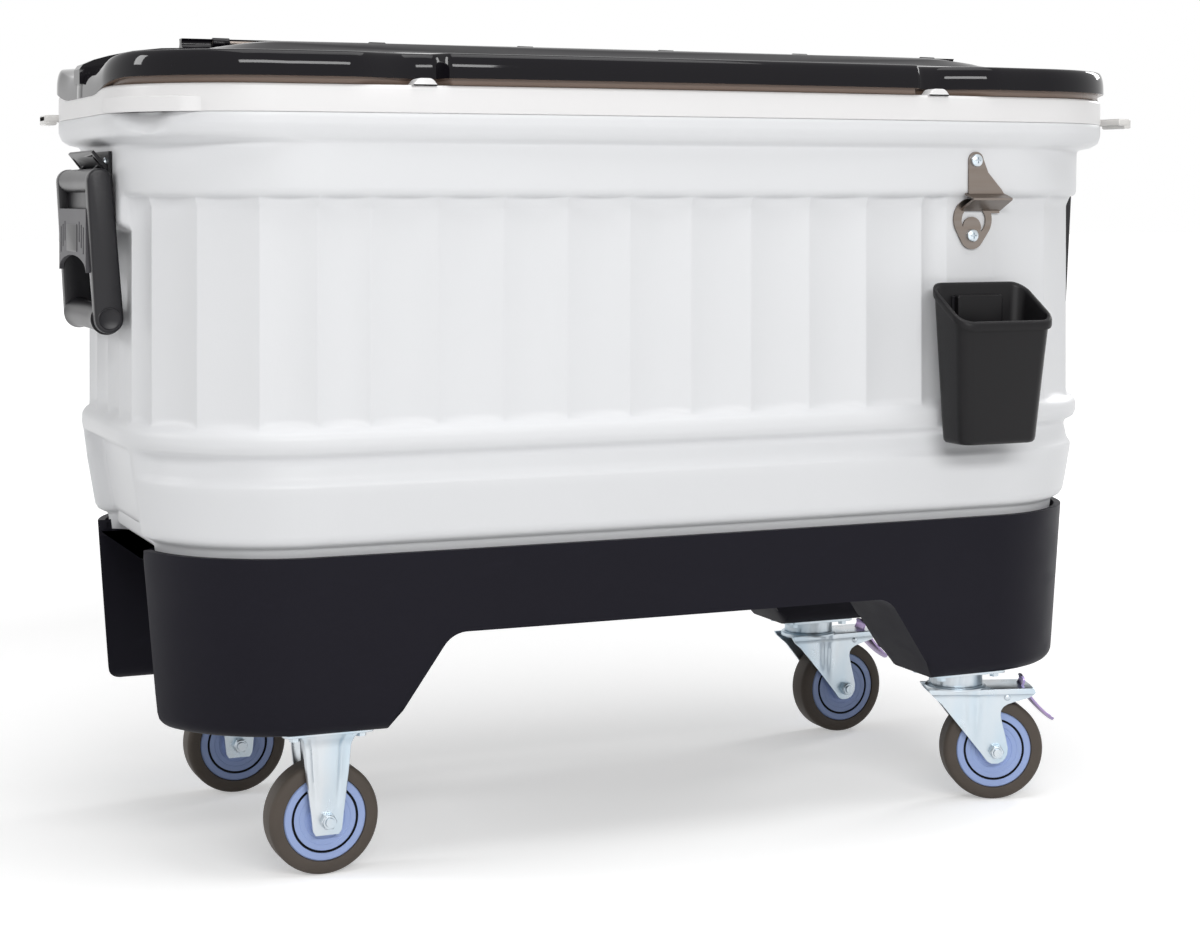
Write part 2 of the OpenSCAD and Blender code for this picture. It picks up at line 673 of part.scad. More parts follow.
// Casters: each is drawn round its own plate centre, with the wheel trailing towards +X
caster_screw_d = 6;
screw_head_d = 10;
screw_head_h = 4;
plate_x = plate_pitch_x + 22;
plate_y = plate_pitch_y + 18;
plate_z = caster_h - plate_t;
hub_w = fork_gap - 2;
axle_reach = fork_gap/2 + fork_t;
kingpin_d = 12;
race_d = 54;
fork_top = wheel_d/2 + 63;
brake_x = 12;
brake_z = 57;
brake_pin_d = 5;
module caster_plate() {
    translate([0, 0, plate_z]) linear_extrude(plate_t) difference() {
        rounded(plate_x, plate_y, 8);
        all_corners(plate_pitch_x/2, plate_pitch_y/2) circle(d = caster_screw_d + 0.6);
    }
}
module caster_screws() {
    color([0.78, 0.78, 0.8])
    all_corners(caster_x, caster_y) all_corners(plate_pitch_x/2, plate_pitch_y/2)
        translate([0, 0, plate_z]) rotate([180, 0, 0]) {
            cylinder(d = screw_head_d, h = screw_head_h, $fn = 6);
            translate([0, 0, -plate_t - leg_floor + over])
                cylinder(d = caster_screw_d, h = plate_t + leg_floor - over);
        }
}
module cheek(shape_t) {
    for (side = [-1, 1]) translate([0, side*(fork_gap + shape_t)/2, 0]) rotate([90, 0, 0])
        linear_extrude(shape_t, center = true) children();
}
module axle_hole(x) {
    translate([x, 0, wheel_d/2]) rotate([90, 0, 0])
        cylinder(d = axle_d + 2*run_fit, h = 2*fork_gap, center = true);
}
// Fixed fork: a plate with two cheeks that narrow towards the axle
fork_foot = 13;
fork_half = 23;
fork_web_h = 18;
module fixed_fork() {
    h = plate_z - wheel_d/2;
    right = [[fork_foot - 3, -fork_foot], [fork_foot, 4 - fork_foot], [fork_half - 3, h*0.55],
        [fork_half, h - 10], [fork_half + 1.5, h + 0.5]];
    left = [for (i = [len(right) - 1:-1:0]) [-right[i][0], right[i][1]]];
    difference() {
        union() {
            caster_plate();
            cheek(fork_t) translate([0, wheel_d/2]) polygon(concat(right, left));
            for (side = [-1, 1]) translate([side*fork_half, 0, plate_z - fork_web_h/2])
                cube([fork_t, fork_gap + 2*fork_t, fork_web_h], center = true);
        }
        axle_hole(0);
    }
}
module tyre(x) {
    edge = 3;
    translate([x, 0, wheel_d/2]) rotate([90, 0, 0]) rotate_extrude($fn = 96) polygon([
        [hub_d/2, -tread_w/2], [wheel_d/2 - 2*edge, -tread_w/2], [wheel_d/2 - edge, -tread_w/2 + 0.6],
        [wheel_d/2 - 1, -tread_w/2 + edge], [wheel_d/2, -tread_w/2 + 2.2*edge],
        [wheel_d/2, tread_w/2 - 2.2*edge], [wheel_d/2 - 1, tread_w/2 - edge],
        [wheel_d/2 - edge, tread_w/2 - 0.6], [wheel_d/2 - 2*edge, tread_w/2], [hub_d/2, tread_w/2]]);
}
groove_at = 31;
groove_deep = 4;
module hub(x) {
    face = tread_w/2 - 0.5;
    boss = hub_w/2;
    r = hub_d/2;
    side = [[axle_d/2 + run_fit, boss], [14, boss], [16, face - 1.5], [groove_at - 1, face - 1.5],
        [groove_at - 1, face - groove_deep], [groove_at, face - groove_deep], [groove_at, face],
        [r, face], [r, 0]];
    translate([x, 0, wheel_d/2]) rotate([90, 0, 0]) rotate_extrude($fn = 96) polygon(concat(side,
        [for (i = [len(side) - 2:-1:0]) [side[i][0], -side[i][1]]]));
}
// Axle with its head on the back side, and a domed nut on the front side
module axle(x) {
    reach = 2*axle_reach + 10;
    translate([x, axle_reach, wheel_d/2]) rotate([90, 0, 0]) {
        translate([0, 0, -5]) cylinder(d = 13, h = 5, $fn = 6);
        cylinder(d = axle_d, h = reach);
    }
}
module nut(x) {
    translate([x, -axle_reach, wheel_d/2]) rotate([90, 0, 0]) difference() {
        union() {
            cylinder(d = 15, h = 6, $fn = 6);
            cylinder(d = 12, h = 8);
        }
        translate([0, 0, -over]) cylinder(d = axle_d + 2*run_fit, h = 10);
    }
}
zinc = [0.78, 0.8, 0.82];
hub_blue = [0.5, 0.6, 0.82];
tyre_grey = [0.25, 0.23, 0.21];
module front_left_fork() {
    color(zinc) translate([-caster_x, -caster_y, 0]) fixed_fork();
}
module front_left_tyre() {
    color(tyre_grey) translate([-caster_x, -caster_y, 0]) tyre(0);
}
module front_left_hub() {
    color(hub_blue) translate([-caster_x, -caster_y, 0]) hub(0);
}
module front_left_axle() {
    color(zinc) translate([-caster_x, -caster_y, 0]) axle(0);
}
module rear_left_fork() {
    color(zinc) translate([-caster_x, caster_y, 0]) fixed_fork();
}
module rear_left_tyre() {
    color(tyre_grey) translate([-caster_x, caster_y, 0]) tyre(0);
}
module rear_left_hub() {
    color(hub_blue) translate([-caster_x, caster_y, 0]) hub(0);
}
module rear_left_axle() {
    color(zinc) translate([-caster_x, caster_y, 0]) axle(0);
}
module fixed_axle_nuts() {
    color(zinc) for (side = [-1, 1]) translate([-caster_x, side*caster_y, 0]) nut(0);
}

// Swivel casters
race_z = fork_top + 2 + gap;
module swivel_plate() {
    difference() {
        union() {
            caster_plate();
            translate([0, 0, race_z]) cylinder(d = race_d, h = plate_z - race_z + 0.5);
        }
        translate([0, 0, race_z - over]) cylinder(d = kingpin_d + 2*run_fit, h = caster_h);
    }
}
module swivel_kingpin() {
    head = 4;
    foot = fork_top - fork_t - gap;
    translate([0, 0, foot]) cylinder(d = kingpin_d, h = caster_h - foot - 0.2);
    translate([0, 0, foot - head]) cylinder(d = kingpin_d + 8, h = head);
}
module swivel_fork() {
    difference() {
        union() {
            translate([trail, 0, wheel_d/2]) cheek(fork_t) difference() {
                polygon([[-68, 62], [38, 62], [41, 58], [38, 53], [20, 49], [9, 44], [5, 36],
                    [12.4, 3], [11.5, -5], [6, -11], [-1, -12.5], [-8, -10], [-58, 47], [-67, 55]]);
                translate([brake_x, brake_z - 3]) circle(d = brake_pin_d + 2*run_fit);
            }
            translate([0, 0, fork_top - fork_t]) linear_extrude(fork_t) hull() {
                circle(d = race_d + 8);
                translate([trail - 4, 0]) square([4, fork_gap + 2*fork_t], center = true);
            }
            translate([0, 0, fork_top - 0.5]) ring(race_d/2 + 3, race_d/2 - 4, 2.5);
        }
        translate([0, 0, fork_top - 20]) cylinder(d = kingpin_d + 2*run_fit, h = 40);
        axle_hole(trail);
    }
}
// Brake: a pressed lever on a pin through the cheeks, with a pedal, a release tab and a shoe
brake_w = 32;
module brake_lever() {
    pedal = [[-8, 1.5], [6, 3.5], [18, 2], [26, -3], [34, -12], [44, -22], [52, -27], [53, -25],
        [45, -19], [36, -9], [28, 1], [19, 5.5], [6, 7], [-8, 4.5]];
    tab = [[12, 4], [20, 8], [22, 14], [18, 19], [16, 17], [19, 13.5], [17, 10], [10, 6.5]];
    translate([trail + brake_x, 0, wheel_d/2 + brake_z - 3]) rotate([90, 0, 0]) {
        linear_extrude(brake_w, center = true) polygon(pedal);
        linear_extrude(brake_w*0.6, center = true) polygon(tab);
        cylinder(d = brake_pin_d, h = fork_gap + 2*fork_t, center = true);
        linear_extrude(brake_w - 8, center = true) polygon([[-3, -1.5], [4, -1], [14, -6], [17, -4],
            [18, 3], [-7, 4]]);
    }
}
module place_front_right() {
    translate([caster_x, -caster_y, 0]) children();
}
module turn_front_right() {
    place_front_right() rotate([0, 0, front_swivel]) children();
}
module place_rear_right() {
    translate([caster_x, caster_y, 0]) children();
}
module front_right_plate() {
    color(zinc) place_front_right() swivel_plate();
}
module front_right_fork() {
    color(zinc) turn_front_right() swivel_fork();
}
module front_right_kingpin() {
    color(zinc) place_front_right() swivel_kingpin();
}
module front_right_brake() {
    color([0.6, 0.55, 0.66]) turn_front_right() brake_lever();
}
module front_right_tyre() {
    color(tyre_grey) turn_front_right() tyre(trail);
}
module front_right_hub() {
    color(hub_blue) turn_front_right() hub(trail);
}
module front_right_axle() {
    color(zinc) turn_front_right() axle(trail);
}
module front_right_nut() {
    color(zinc) turn_front_right() nut(trail);
}
module rear_right_plate() {
    color(zinc) place_rear_right() swivel_plate();
}
module rear_right_fork() {
    color(zinc) place_rear_right() swivel_fork();
}
module rear_right_kingpin() {
    color(zinc) place_rear_right() swivel_kingpin();
}
module rear_right_brake() {
    color([0.6, 0.55, 0.66]) place_rear_right() brake_lever();
}
module rear_right_tyre() {
    color(tyre_grey) place_rear_right() tyre(trail);
}
module rear_right_hub() {
    color(hub_blue) place_rear_right() hub(trail);
}
module rear_right_axle() {
    color(zinc) place_rear_right() axle(trail);
}
module rear_right_nut() {
    color(zinc) place_rear_right() nut(trail);
}

// Handles: drawn for the left end, hanging from a pin in a bracket on the belt
belt_x = tub_len/2 + belt_out + 0.5;
bracket_t = 3;
bracket_w = handle_w - 2*arm_t - 6;
pivot_x = belt_x + gap + bracket_t + bar_r - 0.5;
pivot_z = belt_z + 15;
ear_t = 8;
ear_y = 34;
ear_r = 7;
bracket_plate_h = 36;
bracket_screw_z = belt_z + 32;
bracket_screw_y = bracket_w*0.4;
grip_z = pivot_z - handle_drop;
grip_x = tub_len/2 + grip_r + 1;
module handle_bracket() {
    difference() {
        union() {
            translate([-belt_x - gap - bracket_t, -bracket_w/2, belt_z + 6])
                cube([bracket_t, bracket_w, bracket_plate_h]);
            // The flared plate over the hinge bar
            across(bracket_w - 10) polygon([[-belt_x - gap - 1, belt_z + 27],
                [-belt_x - 16, belt_z + 43], [-belt_x - 18, belt_z + 41],
                [-belt_x - gap - 3.5, belt_z + 23]]);
            for (side = [-1, 1]) translate([0, side*ear_y, 0]) across(ear_t) hull() {
                translate([-pivot_x, pivot_z]) circle(r = ear_r);
                translate([-belt_x - gap - 2, pivot_z - ear_r]) square([2, 26]);
            }
        }
        translate([-pivot_x, 0, pivot_z]) rotate([90, 0, 0])
            cylinder(d = handle_pin_d + 2*run_fit, h = bracket_w, center = true);
        for (side = [-1, 1]) translate([-belt_x - 20, side*bracket_screw_y, bracket_screw_z])
            rotate([0, 90, 0]) {
                cylinder(d = 5, h = 30);
                cylinder(d = 10, h = 20 - gap - bracket_t);
            }
    }
}
module arm_shape() {
    hull() {
        translate([-pivot_x, pivot_z]) circle(r = bar_r);
        translate([-grip_x, grip_z]) circle(r = grip_r);
    }
}
module across(w) {
    rotate([90, 0, 0]) linear_extrude(w, center = true) children();
}
grip_core_d = 2*grip_r - 6;
finger_top = 58;
bridge_top = 26;
module handle() {
    inner_w = handle_w - 2*arm_t;
    difference() {
        union() {
            for (side = [-1, 1]) translate([0, side*(handle_w - arm_t)/2, 0]) across(arm_t) arm_shape();
            translate([-pivot_x, 0, pivot_z]) rotate([90, 0, 0])
                cylinder(r = bar_r - 1.5, h = inner_w + 2, center = true);
            // Web from the hinge bar down to the bridge
            translate([-pivot_x - 2, -inner_w/2 - 1, pivot_z - 34]) cube([4, inner_w + 2, 34]);
            // Bridge between the arms, with an arched lower edge and slots
            translate([-pivot_x - bar_r + 1, 0, 0]) rotate([90, 0, 90]) linear_extrude(4) difference() {
                translate([-inner_w/2 - 1, pivot_z - finger_top - 22]) square([inner_w + 2, finger_top - 4]);
                translate([0, pivot_z - finger_top - inner_w*0.43]) circle(d = inner_w*0.86);
                for (side = [-1, 1], i = [0:2])
                    translate([side*(28 + i*11), pivot_z - bridge_top - 12 - i*2.5])
                        square([4, 18 + i*3], center = true);
            }
        }
        // Slots for the bracket's ears and the swing past the bracket
        for (side = [-1, 1]) translate([-pivot_x, side*ear_y, pivot_z])
            cube([2*bar_r + 2, ear_t + 1, 2*bar_r + 2], center = true);
        translate([-pivot_x, 0, pivot_z]) rotate([90, 0, 0])
            cylinder(d = handle_pin_d + 2*run_fit, h = handle_w - 6, center = true);
        translate([-grip_x, 0, grip_z]) rotate([90, 0, 0])
            cylinder(d = grip_core_d, h = handle_w + over, center = true);
    }
}
module handle_pin() {
    translate([-pivot_x, 0, pivot_z]) rotate([90, 0, 0])
        cylinder(d = handle_pin_d, h = handle_w - 8, center = true);
}
// Grip: a bar between the arms, on a core that ends flush in the arms
module grip() {
    translate([-grip_x, 0, grip_z]) rotate([90, 0, 0]) {
        cylinder(d = grip_core_d, h = handle_w - 1, center = true);
        cylinder(r = grip_r - 1, h = handle_w - 2*arm_t, center = true);
    }
}
black = [0.12, 0.12, 0.13];
module left_handle_bracket() {
    color(black) handle_bracket();
}
module left_handle() {
    color(black) handle();
}
module left_handle_pin() {
    color(zinc) handle_pin();
}
module left_grip() {
    color(black) grip();
}
module right_handle_bracket() {
    color(black) rotate([0, 0, 180]) handle_bracket();
}
module right_handle() {
    color(black) rotate([0, 0, 180]) handle();
}
module right_handle_pin() {
    color(zinc) rotate([0, 0, 180]) handle_pin();
}
module right_grip() {
    color(black) rotate([0, 0, 180]) grip();
}
module handle_screws() {
    color(zinc) both_sides() for (side = [-1, 1])
        translate([-belt_x - gap - bracket_t, side*bracket_screw_y, bracket_screw_z])
            rotate([0, -90, 0]) pan_screw(4.4, 9, 2.5, 14);
}

// Bottle opener on the ridge: a flat upper plate, a fold that stands out and a round lower plate
opener_x = 311;
opener_low = belt_z - opener_drop;
opener_high = belt_z + 36;
opener_step = belt_out + 0.6 - opener_t;
upper_out = belt_out + 0.5 + gap;
lower_out = gap + opener_t - 1.4;
module opener_plate(depth) {
    rotate([90, 0, 0]) linear_extrude(depth) children();
}
module bottle_opener() {
    fold = 16;
    color([0.55, 0.53, 0.5])
    difference() {
        union() {
            on_face(opener_x, upper_out, 0) opener_plate(opener_t) hull() {
                translate([0, opener_high]) circle(d = 17);
                translate([-8.5, belt_z + 3]) square([0.1, 1]);
            }
            on_face(opener_x, upper_out, 0) opener_plate(opener_t) polygon([[-8.5, belt_z + 2],
                [33, belt_z + 2], [30, belt_z + 7], [14, belt_z + 24], [8.5, opener_high + 1],
                [-8.5, opener_high]]);
            // The fold: out from the upper plate and back in to the lower one
            on_face(opener_x, upper_out, 0) translate([-12, 0, belt_z + 2]) rotate([90, 0, 90])
                linear_extrude(45) polygon([[0, 0], [0, 2], [-fold, -3], [-fold, -5], [opener_step, -16],
                    [opener_step, -13], [2 - fold, -4]]);
            on_face(opener_x, lower_out, 0) opener_plate(opener_t) difference() {
                union() {
                    hull() {
                        translate([0, opener_low]) circle(d = 27);
                        translate([1, opener_low + 16]) circle(d = 44);
                    }
                    translate([-12, belt_z - 16]) square([44, 4]);
                }
                difference() {
                    translate([2, opener_low + 15]) circle(d = 28);
                    translate([0, opener_low + 8]) circle(d = 21);
                    translate([-20, opener_low - 10]) square([40, 14]);
                }
            }
        }
        for (z = [opener_low, opener_high]) on_face(opener_x, 0, z) rotate([90, 0, 0])
            translate([0, 0, -20]) cylinder(d = 5, h = 60);
    }
}
module opener_screws() {
    color([0.8, 0.8, 0.8]) {
        on_face(opener_x, upper_out + opener_t, opener_high) rotate([90, 0, 0])
            pan_screw(4.4, 12, 4, 14);
        on_face(opener_x, lower_out + opener_t, opener_low) rotate([90, 0, 0])
            pan_screw(4.4, 12, 4, 11);
    }
}

// Catch bin: hangs on a bracket in the hollow between ledge and belt
bin_x = 304;
bin_z = ledge_z - 35;
bin_back = ledge_out + 1;
bracket_x = 46;
bracket_z = bin_z + bin_h - 64;
bracket_h = 50;
bracket_deep = 14;
module bin_bracket() {
    color(black)
    on_face(bin_x, gap, bracket_z) difference() {
        union() {
            translate([-bracket_x/2, -bracket_deep, 0]) cube([bracket_x, 3, bracket_h]);
            translate([-bracket_x/2, -bracket_deep, bracket_h - 3]) cube([bracket_x, bracket_deep, 3]);
            translate([-bracket_x/2, -3, 0]) cube([bracket_x, 3, bracket_h]);
        }
        for (x = [-1, 1]) translate([x*14, 1, bracket_h/2]) rotate([90, 0, 0]) {
            cylinder(d = 5, h = 10);
            translate([0, 0, 5]) cylinder(d = 10, h = 20);
        }
    }
}
module bin_screws() {
    color(zinc) for (x = [-1, 1]) on_face(bin_x, gap + 3, bracket_z + bracket_h/2) translate([x*14, 0, 0])
        rotate([90, 0, 0]) pan_screw(4.4, 9, 3, 12);
}
// Rings of the bin: inset at the sides, at the back and at the front, corner radius, height
bin_steps = 6;
function bin_ring(side, back, front, r, z, drop) =
    [for (c = [0:3], i = [0:bin_steps])
        let (a = 90*(c + i/bin_steps) - 90,
            x = (c < 2 ? 1 : -1)*(bin_w/2 - side - r) + r*cos(a),
            y = (c == 0 || c == 3 ? front + r - bin_d : -back - r) + r*sin(a))
        [x, y, z + drop*y/bin_d]];
module bin_walls() {
    t = bin_t;
    lip = 3;
    skin([bin_ring(17, 6, 19, 8, 0, 0),
        bin_ring(13, 3, 15, 11, 1.5, 0),
        bin_ring(11.5, 2, 13.5, 13, 6, 0),
        bin_ring(lip + 0.5, 0, lip + 0.5, 13, bin_h - 9, bin_slope),
        bin_ring(0, 0, 0, 16, bin_h - 8, bin_slope),
        bin_ring(0, 0, 0, 16, bin_h - 2, bin_slope),
        bin_ring(1.5, 1, 1.5, 14.5, bin_h, bin_slope),
        bin_ring(lip + 0.5 + t, t, lip + 0.5 + t, 10.5, bin_h, bin_slope),
        bin_ring(11.5 + t, 2 + t, 13.5 + t, 10.5, 7, 0),
        bin_ring(15 + t, 5 + t, 17 + t, 7, t, 0)]);
}
module catch_bin() {
    slot_w = bracket_x + 3;
    slot_d = bracket_deep - bin_back + gap + 1;
    slot_top = bracket_z + bracket_h + gap - bin_z;
    color(black)
    on_face(bin_x, bin_back, bin_z) difference() {
        union() {
            bin_walls();
            translate([-slot_w/2 - bin_t, -slot_d - bin_t, 5])
                cube([slot_w + 2*bin_t, slot_d + bin_t - 2, slot_top - 5 + bin_t]);
        }
        translate([-slot_w/2, -slot_d, -over]) cube([slot_w, slot_d + over, slot_top + over]);
    }
}

wheel_base();
base_screws();
tub_shell();
insulation_foam();
tub_liner();
divider_left();
divider_right();
drain_spout();
drain_plug();
lid_frame();
frame_tabs();
hinge_beam();
front_lid();
back_lid();
front_hinge_pin();
back_hinge_pin();
front_left_fork();
front_left_tyre();
front_left_hub();
front_left_axle();
rear_left_fork();
rear_left_tyre();
rear_left_hub();
rear_left_axle();
fixed_axle_nuts();
front_right_plate();
front_right_fork();
front_right_kingpin();
front_right_brake();
front_right_tyre();
front_right_hub();
front_right_axle();
front_right_nut();
rear_right_plate();
rear_right_fork();
rear_right_kingpin();
rear_right_brake();
rear_right_tyre();
rear_right_hub();
rear_right_axle();
rear_right_nut();
caster_screws();
left_handle_bracket();
left_handle();
left_handle_pin();
left_grip();
right_handle_bracket();
right_handle();
right_handle_pin();
right_grip();
handle_screws();
bottle_opener();
opener_screws();
bin_bracket();
bin_screws();
catch_bin();
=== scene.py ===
"""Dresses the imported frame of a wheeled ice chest: moulded tub, smoked lids, legged base,
casters, swing handles, bottle opener and catch bin. Everything is in metres, in the frame's axes."""

import json
import math

import bmesh
import bpy
import numpy as np
from bpy.props import FloatProperty, FloatVectorProperty, PointerProperty
from bpy.types import Operator, Panel, PropertyGroup
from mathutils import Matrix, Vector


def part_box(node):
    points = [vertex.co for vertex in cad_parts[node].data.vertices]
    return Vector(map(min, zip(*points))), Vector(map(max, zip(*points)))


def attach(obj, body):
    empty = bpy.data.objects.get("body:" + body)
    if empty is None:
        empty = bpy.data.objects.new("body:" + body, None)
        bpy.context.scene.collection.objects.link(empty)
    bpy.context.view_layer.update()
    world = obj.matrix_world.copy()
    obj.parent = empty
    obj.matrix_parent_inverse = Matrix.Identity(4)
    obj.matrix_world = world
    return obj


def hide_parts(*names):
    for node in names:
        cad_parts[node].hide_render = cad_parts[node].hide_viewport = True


bl_info = {
    "name": "Wheeled Ice Chest",
    "version": (1, 0, 0),
    "blender": (4, 5, 0),
    "location": "View3D > Sidebar > Ice Chest",
    "description": "Dresses the packed frame of a wheeled ice chest with its finished surfaces",
    "category": "Add Mesh",
}

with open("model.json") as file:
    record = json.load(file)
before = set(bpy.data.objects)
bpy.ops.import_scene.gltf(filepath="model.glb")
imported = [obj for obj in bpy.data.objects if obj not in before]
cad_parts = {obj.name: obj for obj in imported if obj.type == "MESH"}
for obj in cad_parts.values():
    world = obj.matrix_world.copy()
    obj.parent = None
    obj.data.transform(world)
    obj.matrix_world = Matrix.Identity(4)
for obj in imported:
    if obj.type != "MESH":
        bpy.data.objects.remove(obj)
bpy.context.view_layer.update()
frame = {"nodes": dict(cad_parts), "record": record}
MM = 0.001
QUARTER = math.pi / 2
# Points of a new piece, and of a CAD part, that lie closer than this become one
SAME_POINT, SAME_CAD_POINT = 2e-6, 1e-5

# Heights and reaches that the frame settles
shell_low, shell_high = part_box("tub_shell")
base_low, base_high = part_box("wheel_base")
lid_low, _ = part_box("front_lid")
_, frame_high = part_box("lid_frame")
RIM_TOP, FOOT_Z = shell_high.z, shell_low.z
LEG_Z, BASE_TOP = base_low.z, base_high.z
FRAME_TOP, LID_FOOT, HALF_RIM = frame_high.z, lid_low.z, shell_high.x


def size(name, description, millimetres):
    """A length that a user may change, given here in millimetres."""
    return FloatProperty(name=name, description=description, default=millimetres * MM, unit="LENGTH")


def paint(name, description, red, green, blue):
    """A finish's colour, given here as the 0 to 255 values that a screen shows."""
    linear = [((c / 255 + 0.055) / 1.055) ** 2.4 if c > 10 else c / 255 / 12.92 for c in (red, green, blue)]
    return FloatVectorProperty(name=name, description=description, default=linear, subtype="COLOR")


class TubSizes(PropertyGroup):
    """The white tub."""

    corner_r: size("Corner radius", "Corner radius of the fluted walls in plan", 145)
    wall_bow: size("Wall bow", "How far the long walls bow outwards", 4)
    rim_r: size("Rim radius", "Corner radius of the rim in plan", 135)
    rim_bow: size("Rim bow", "How far the rim bows outwards along its long sides", 12)
    rim_out: size("Rim reach", "How far the rim stands out from the fluted walls", 26)
    rim_h: size("Rim height", "Height of the rolled rim", 25)
    belt_h: size("Belt height", "Height of the smooth belt under the rim", 49)
    belt_out: size("Belt reach", "How far the belt stands out", 8)
    band_h: size("Band height", "Height of the plain band at the bottom", 56)
    ledge_top: size("Ledge height", "Height of the ledge's top above the tub's bottom", 105)
    ledge_out: size("Ledge reach", "How far the ledge stands out", 7.5)
    foot_h: size("Foot height", "Height of the recessed foot between base and tub", 9)
    flute_pitch: size("Flute width", "Width of one flute of the long sides", 62.4)
    flute_depth: size("Flute depth", "Depth of one flute", 4.8)
    flute_start: size("First flute", "Distance of the first flute's edge from the middle", 254.6)
    ridge_x: size("Ridge place", "Centre of the plain ridge that carries the opener and the bin", 310.5)
    ridge_w: size("Ridge width", "Width of that ridge", 55)
    pad_w: size("Pad width", "Width of the raised pad behind each handle", 204)
    pad_h: size("Pad height", "How far that pad reaches below the belt", 24)
    recess_w: size("Recess width", "Width of the recess in each end, between the legs", 214)
    recess_depth: size("Recess depth", "Depth of that recess", 18)
    scoop_depth: size("Scoop depth", "Depth of the finger scoop in two corners of the rim", 12)


class LidSizes(PropertyGroup):
    """The lid frame and the two lids."""

    lid_out: size("Lid reach", "How far the lids stand out past the frame", 5)
    side_h: size("Side height", "Height of the lids' sides", 29)
    wall: size("Lid wall", "Thickness of the lids", 3)
    flange_in: size("Flange inset", "How far the lower flange stays inside the lid's side", 7)
    flange_h: size("Flange height", "Height of the lower flange", 6)
    notch_x: size("Notch place", "Distance of the finger notches from the middle", 258)
    notch_depth: size("Notch depth", "Depth of the finger notches", 19)
    panel_x: size("Panel length", "Half the length of the raised panel that carries the hinges", 440)
    panel_y: size("Panel width", "Half the width of that panel", 92)
    panel_h: size("Panel height", "Height of that panel", 9)
    hinge_back: size("Hinge distance", "Distance of the lids' back edge from the middle", 14.5)


class BaseSizes(PropertyGroup):
    """The legged base."""

    inset: size("Inset", "How far the base stays inside the fluted walls", 8)
    draft: size("Draft", "How far the sides slope in towards the bottom", 10)
    bottom_r: size("Bottom radius", "Radius of the bottom edge", 13)
    wall: size("Wall", "Thickness of the base's upper edge", 7)
    arch_h: size("Arch height", "Height of the arches above the leg bottoms", 85)
    arch_bottom: size("Arch foot", "Width of the long arches at the bottom", 566)
    arch_top: size("Arch top", "Width of the long arches at the top", 452)
    arch_r: size("Arch radius", "Corner radius at the top of an arch", 26)
    gap_bottom: size("End gap foot", "Width of the end openings at the bottom", 222)
    gap_top: size("End gap top", "Width of the end openings at the top", 210)


class CasterSizes(PropertyGroup):
    """Wheels and forks."""

    hub_d: size("Hub diameter", "Diameter of the blue hub", 76)
    groove_r: size("Groove radius", "Radius of the dark groove in the hub's face", 31)
    fork_gap: size("Fork gap", "Distance between the fork's cheeks", 38)
    sheet_t: size("Sheet", "Thickness of the fork's sheet", 3)
    trail: size("Trail", "Distance from the swivel axis to the axle", 36)
    race_d: size("Raceway", "Diameter of the swivel's raceway", 54)


class FittingSizes(PropertyGroup):
    """Handles and bin."""

    handle_w: size("Handle width", "Width of a handle", 160)
    arm_t: size("Arm thickness", "Thickness of a handle's arms", 14)
    bar_r: size("Hinge bar radius", "Radius of the handle's hinge bar", 11.5)
    grip_r: size("Grip radius", "Radius of the handle's grip", 13)
    bin_w: size("Bin width", "Width of the bin at its rim", 111)
    bin_d: size("Bin depth", "Depth of the bin from back to front", 62)
    bin_h: size("Bin height", "Height of the bin at its back", 156)
    bin_slope: size("Bin slope", "How much lower the bin's front edge is", 38)


class ChestColours(PropertyGroup):
    """Colours of the finishes."""

    tub: paint("Tub", "White moulded plastic of the tub", 229, 230, 232)
    lid_frame: paint("Lid frame", "White moulded plastic of the lid frame", 236, 235, 235)
    liner: paint("Liner", "White plastic of the liner", 232, 233, 234)
    base: paint("Base", "Dark moulded plastic of the base", 25, 24, 32)
    smoked: paint("Smoked lid", "Dark transparent plastic of the lids", 17, 15, 20)
    # Painted light: the lower flange is the lids' smoked plastic, coloured brown for the light that shines through it
    # where it is thin
    flange: paint("Lid flange", "Brown light in the lids' thin lower flange", 112, 94, 82)
    tab: paint("Tabs", "Milky plastic of the tabs at the ends", 226, 224, 221)
    zinc: paint("Zinc", "Bright zinc plate", 205, 210, 214)
    tinted: paint("Tinted zinc", "Purple tinted zinc plate of the brake levers", 160, 140, 178)
    stainless: paint("Stainless", "Satin stainless steel of the opener", 132, 124, 118)
    tyre: paint("Tyre", "Brown grey rubber of the tread", 80, 72, 65)
    hub: paint("Hub", "Periwinkle plastic of the hubs", 158, 178, 224)
    black: paint("Black", "Black plastic of the handles", 24, 23, 27)
    # Painted sheen: the bridges are the handles' black plastic, coloured lighter grey for the light that their outer
    # faces catch
    bridge: paint("Bridge", "Satin grey of the handles' bridges", 70, 69, 73)
    bin: paint("Bin", "Black plastic of the bin", 20, 19, 21)
    # Painted shade: near black for the shade inside the groove round a hub's cap
    groove: paint("Groove", "Dark gap round a hub's cap", 8, 10, 20)


class StageSettings(PropertyGroup):
    """The camera and the floor."""

    eye: FloatVectorProperty(name="Camera place", description="Where the camera stands",
                             default=(-0.931, -2.204, 0.610), subtype="TRANSLATION", unit="LENGTH")
    turn: FloatProperty(name="Camera turn", description="How far the camera turns from the chest's front",
                        default=math.radians(-23.08), subtype="ANGLE")
    lens: FloatProperty(name="Lens", description="Focal length on a 36 mm sensor", default=70.14)
    shift: FloatProperty(name="Shift", description="Upward shift of the level camera's picture", default=-0.2258)
    floor: FloatVectorProperty(name="Floor", description="Colour of the pale floor",
                               default=(0.86, 0.86, 0.86), subtype="COLOR")


class IceChest(PropertyGroup):
    """All sizes and colours of the chest."""

    tub: PointerProperty(type=TubSizes)
    lid: PointerProperty(type=LidSizes)
    base: PointerProperty(type=BaseSizes)
    caster: PointerProperty(type=CasterSizes)
    fitting: PointerProperty(type=FittingSizes)
    colours: PointerProperty(type=ChestColours)
    stage: PointerProperty(type=StageSettings)


def chest():
    """The scene's sizes and colours."""
    return bpy.context.scene.ice_chest


# Curves and surfaces


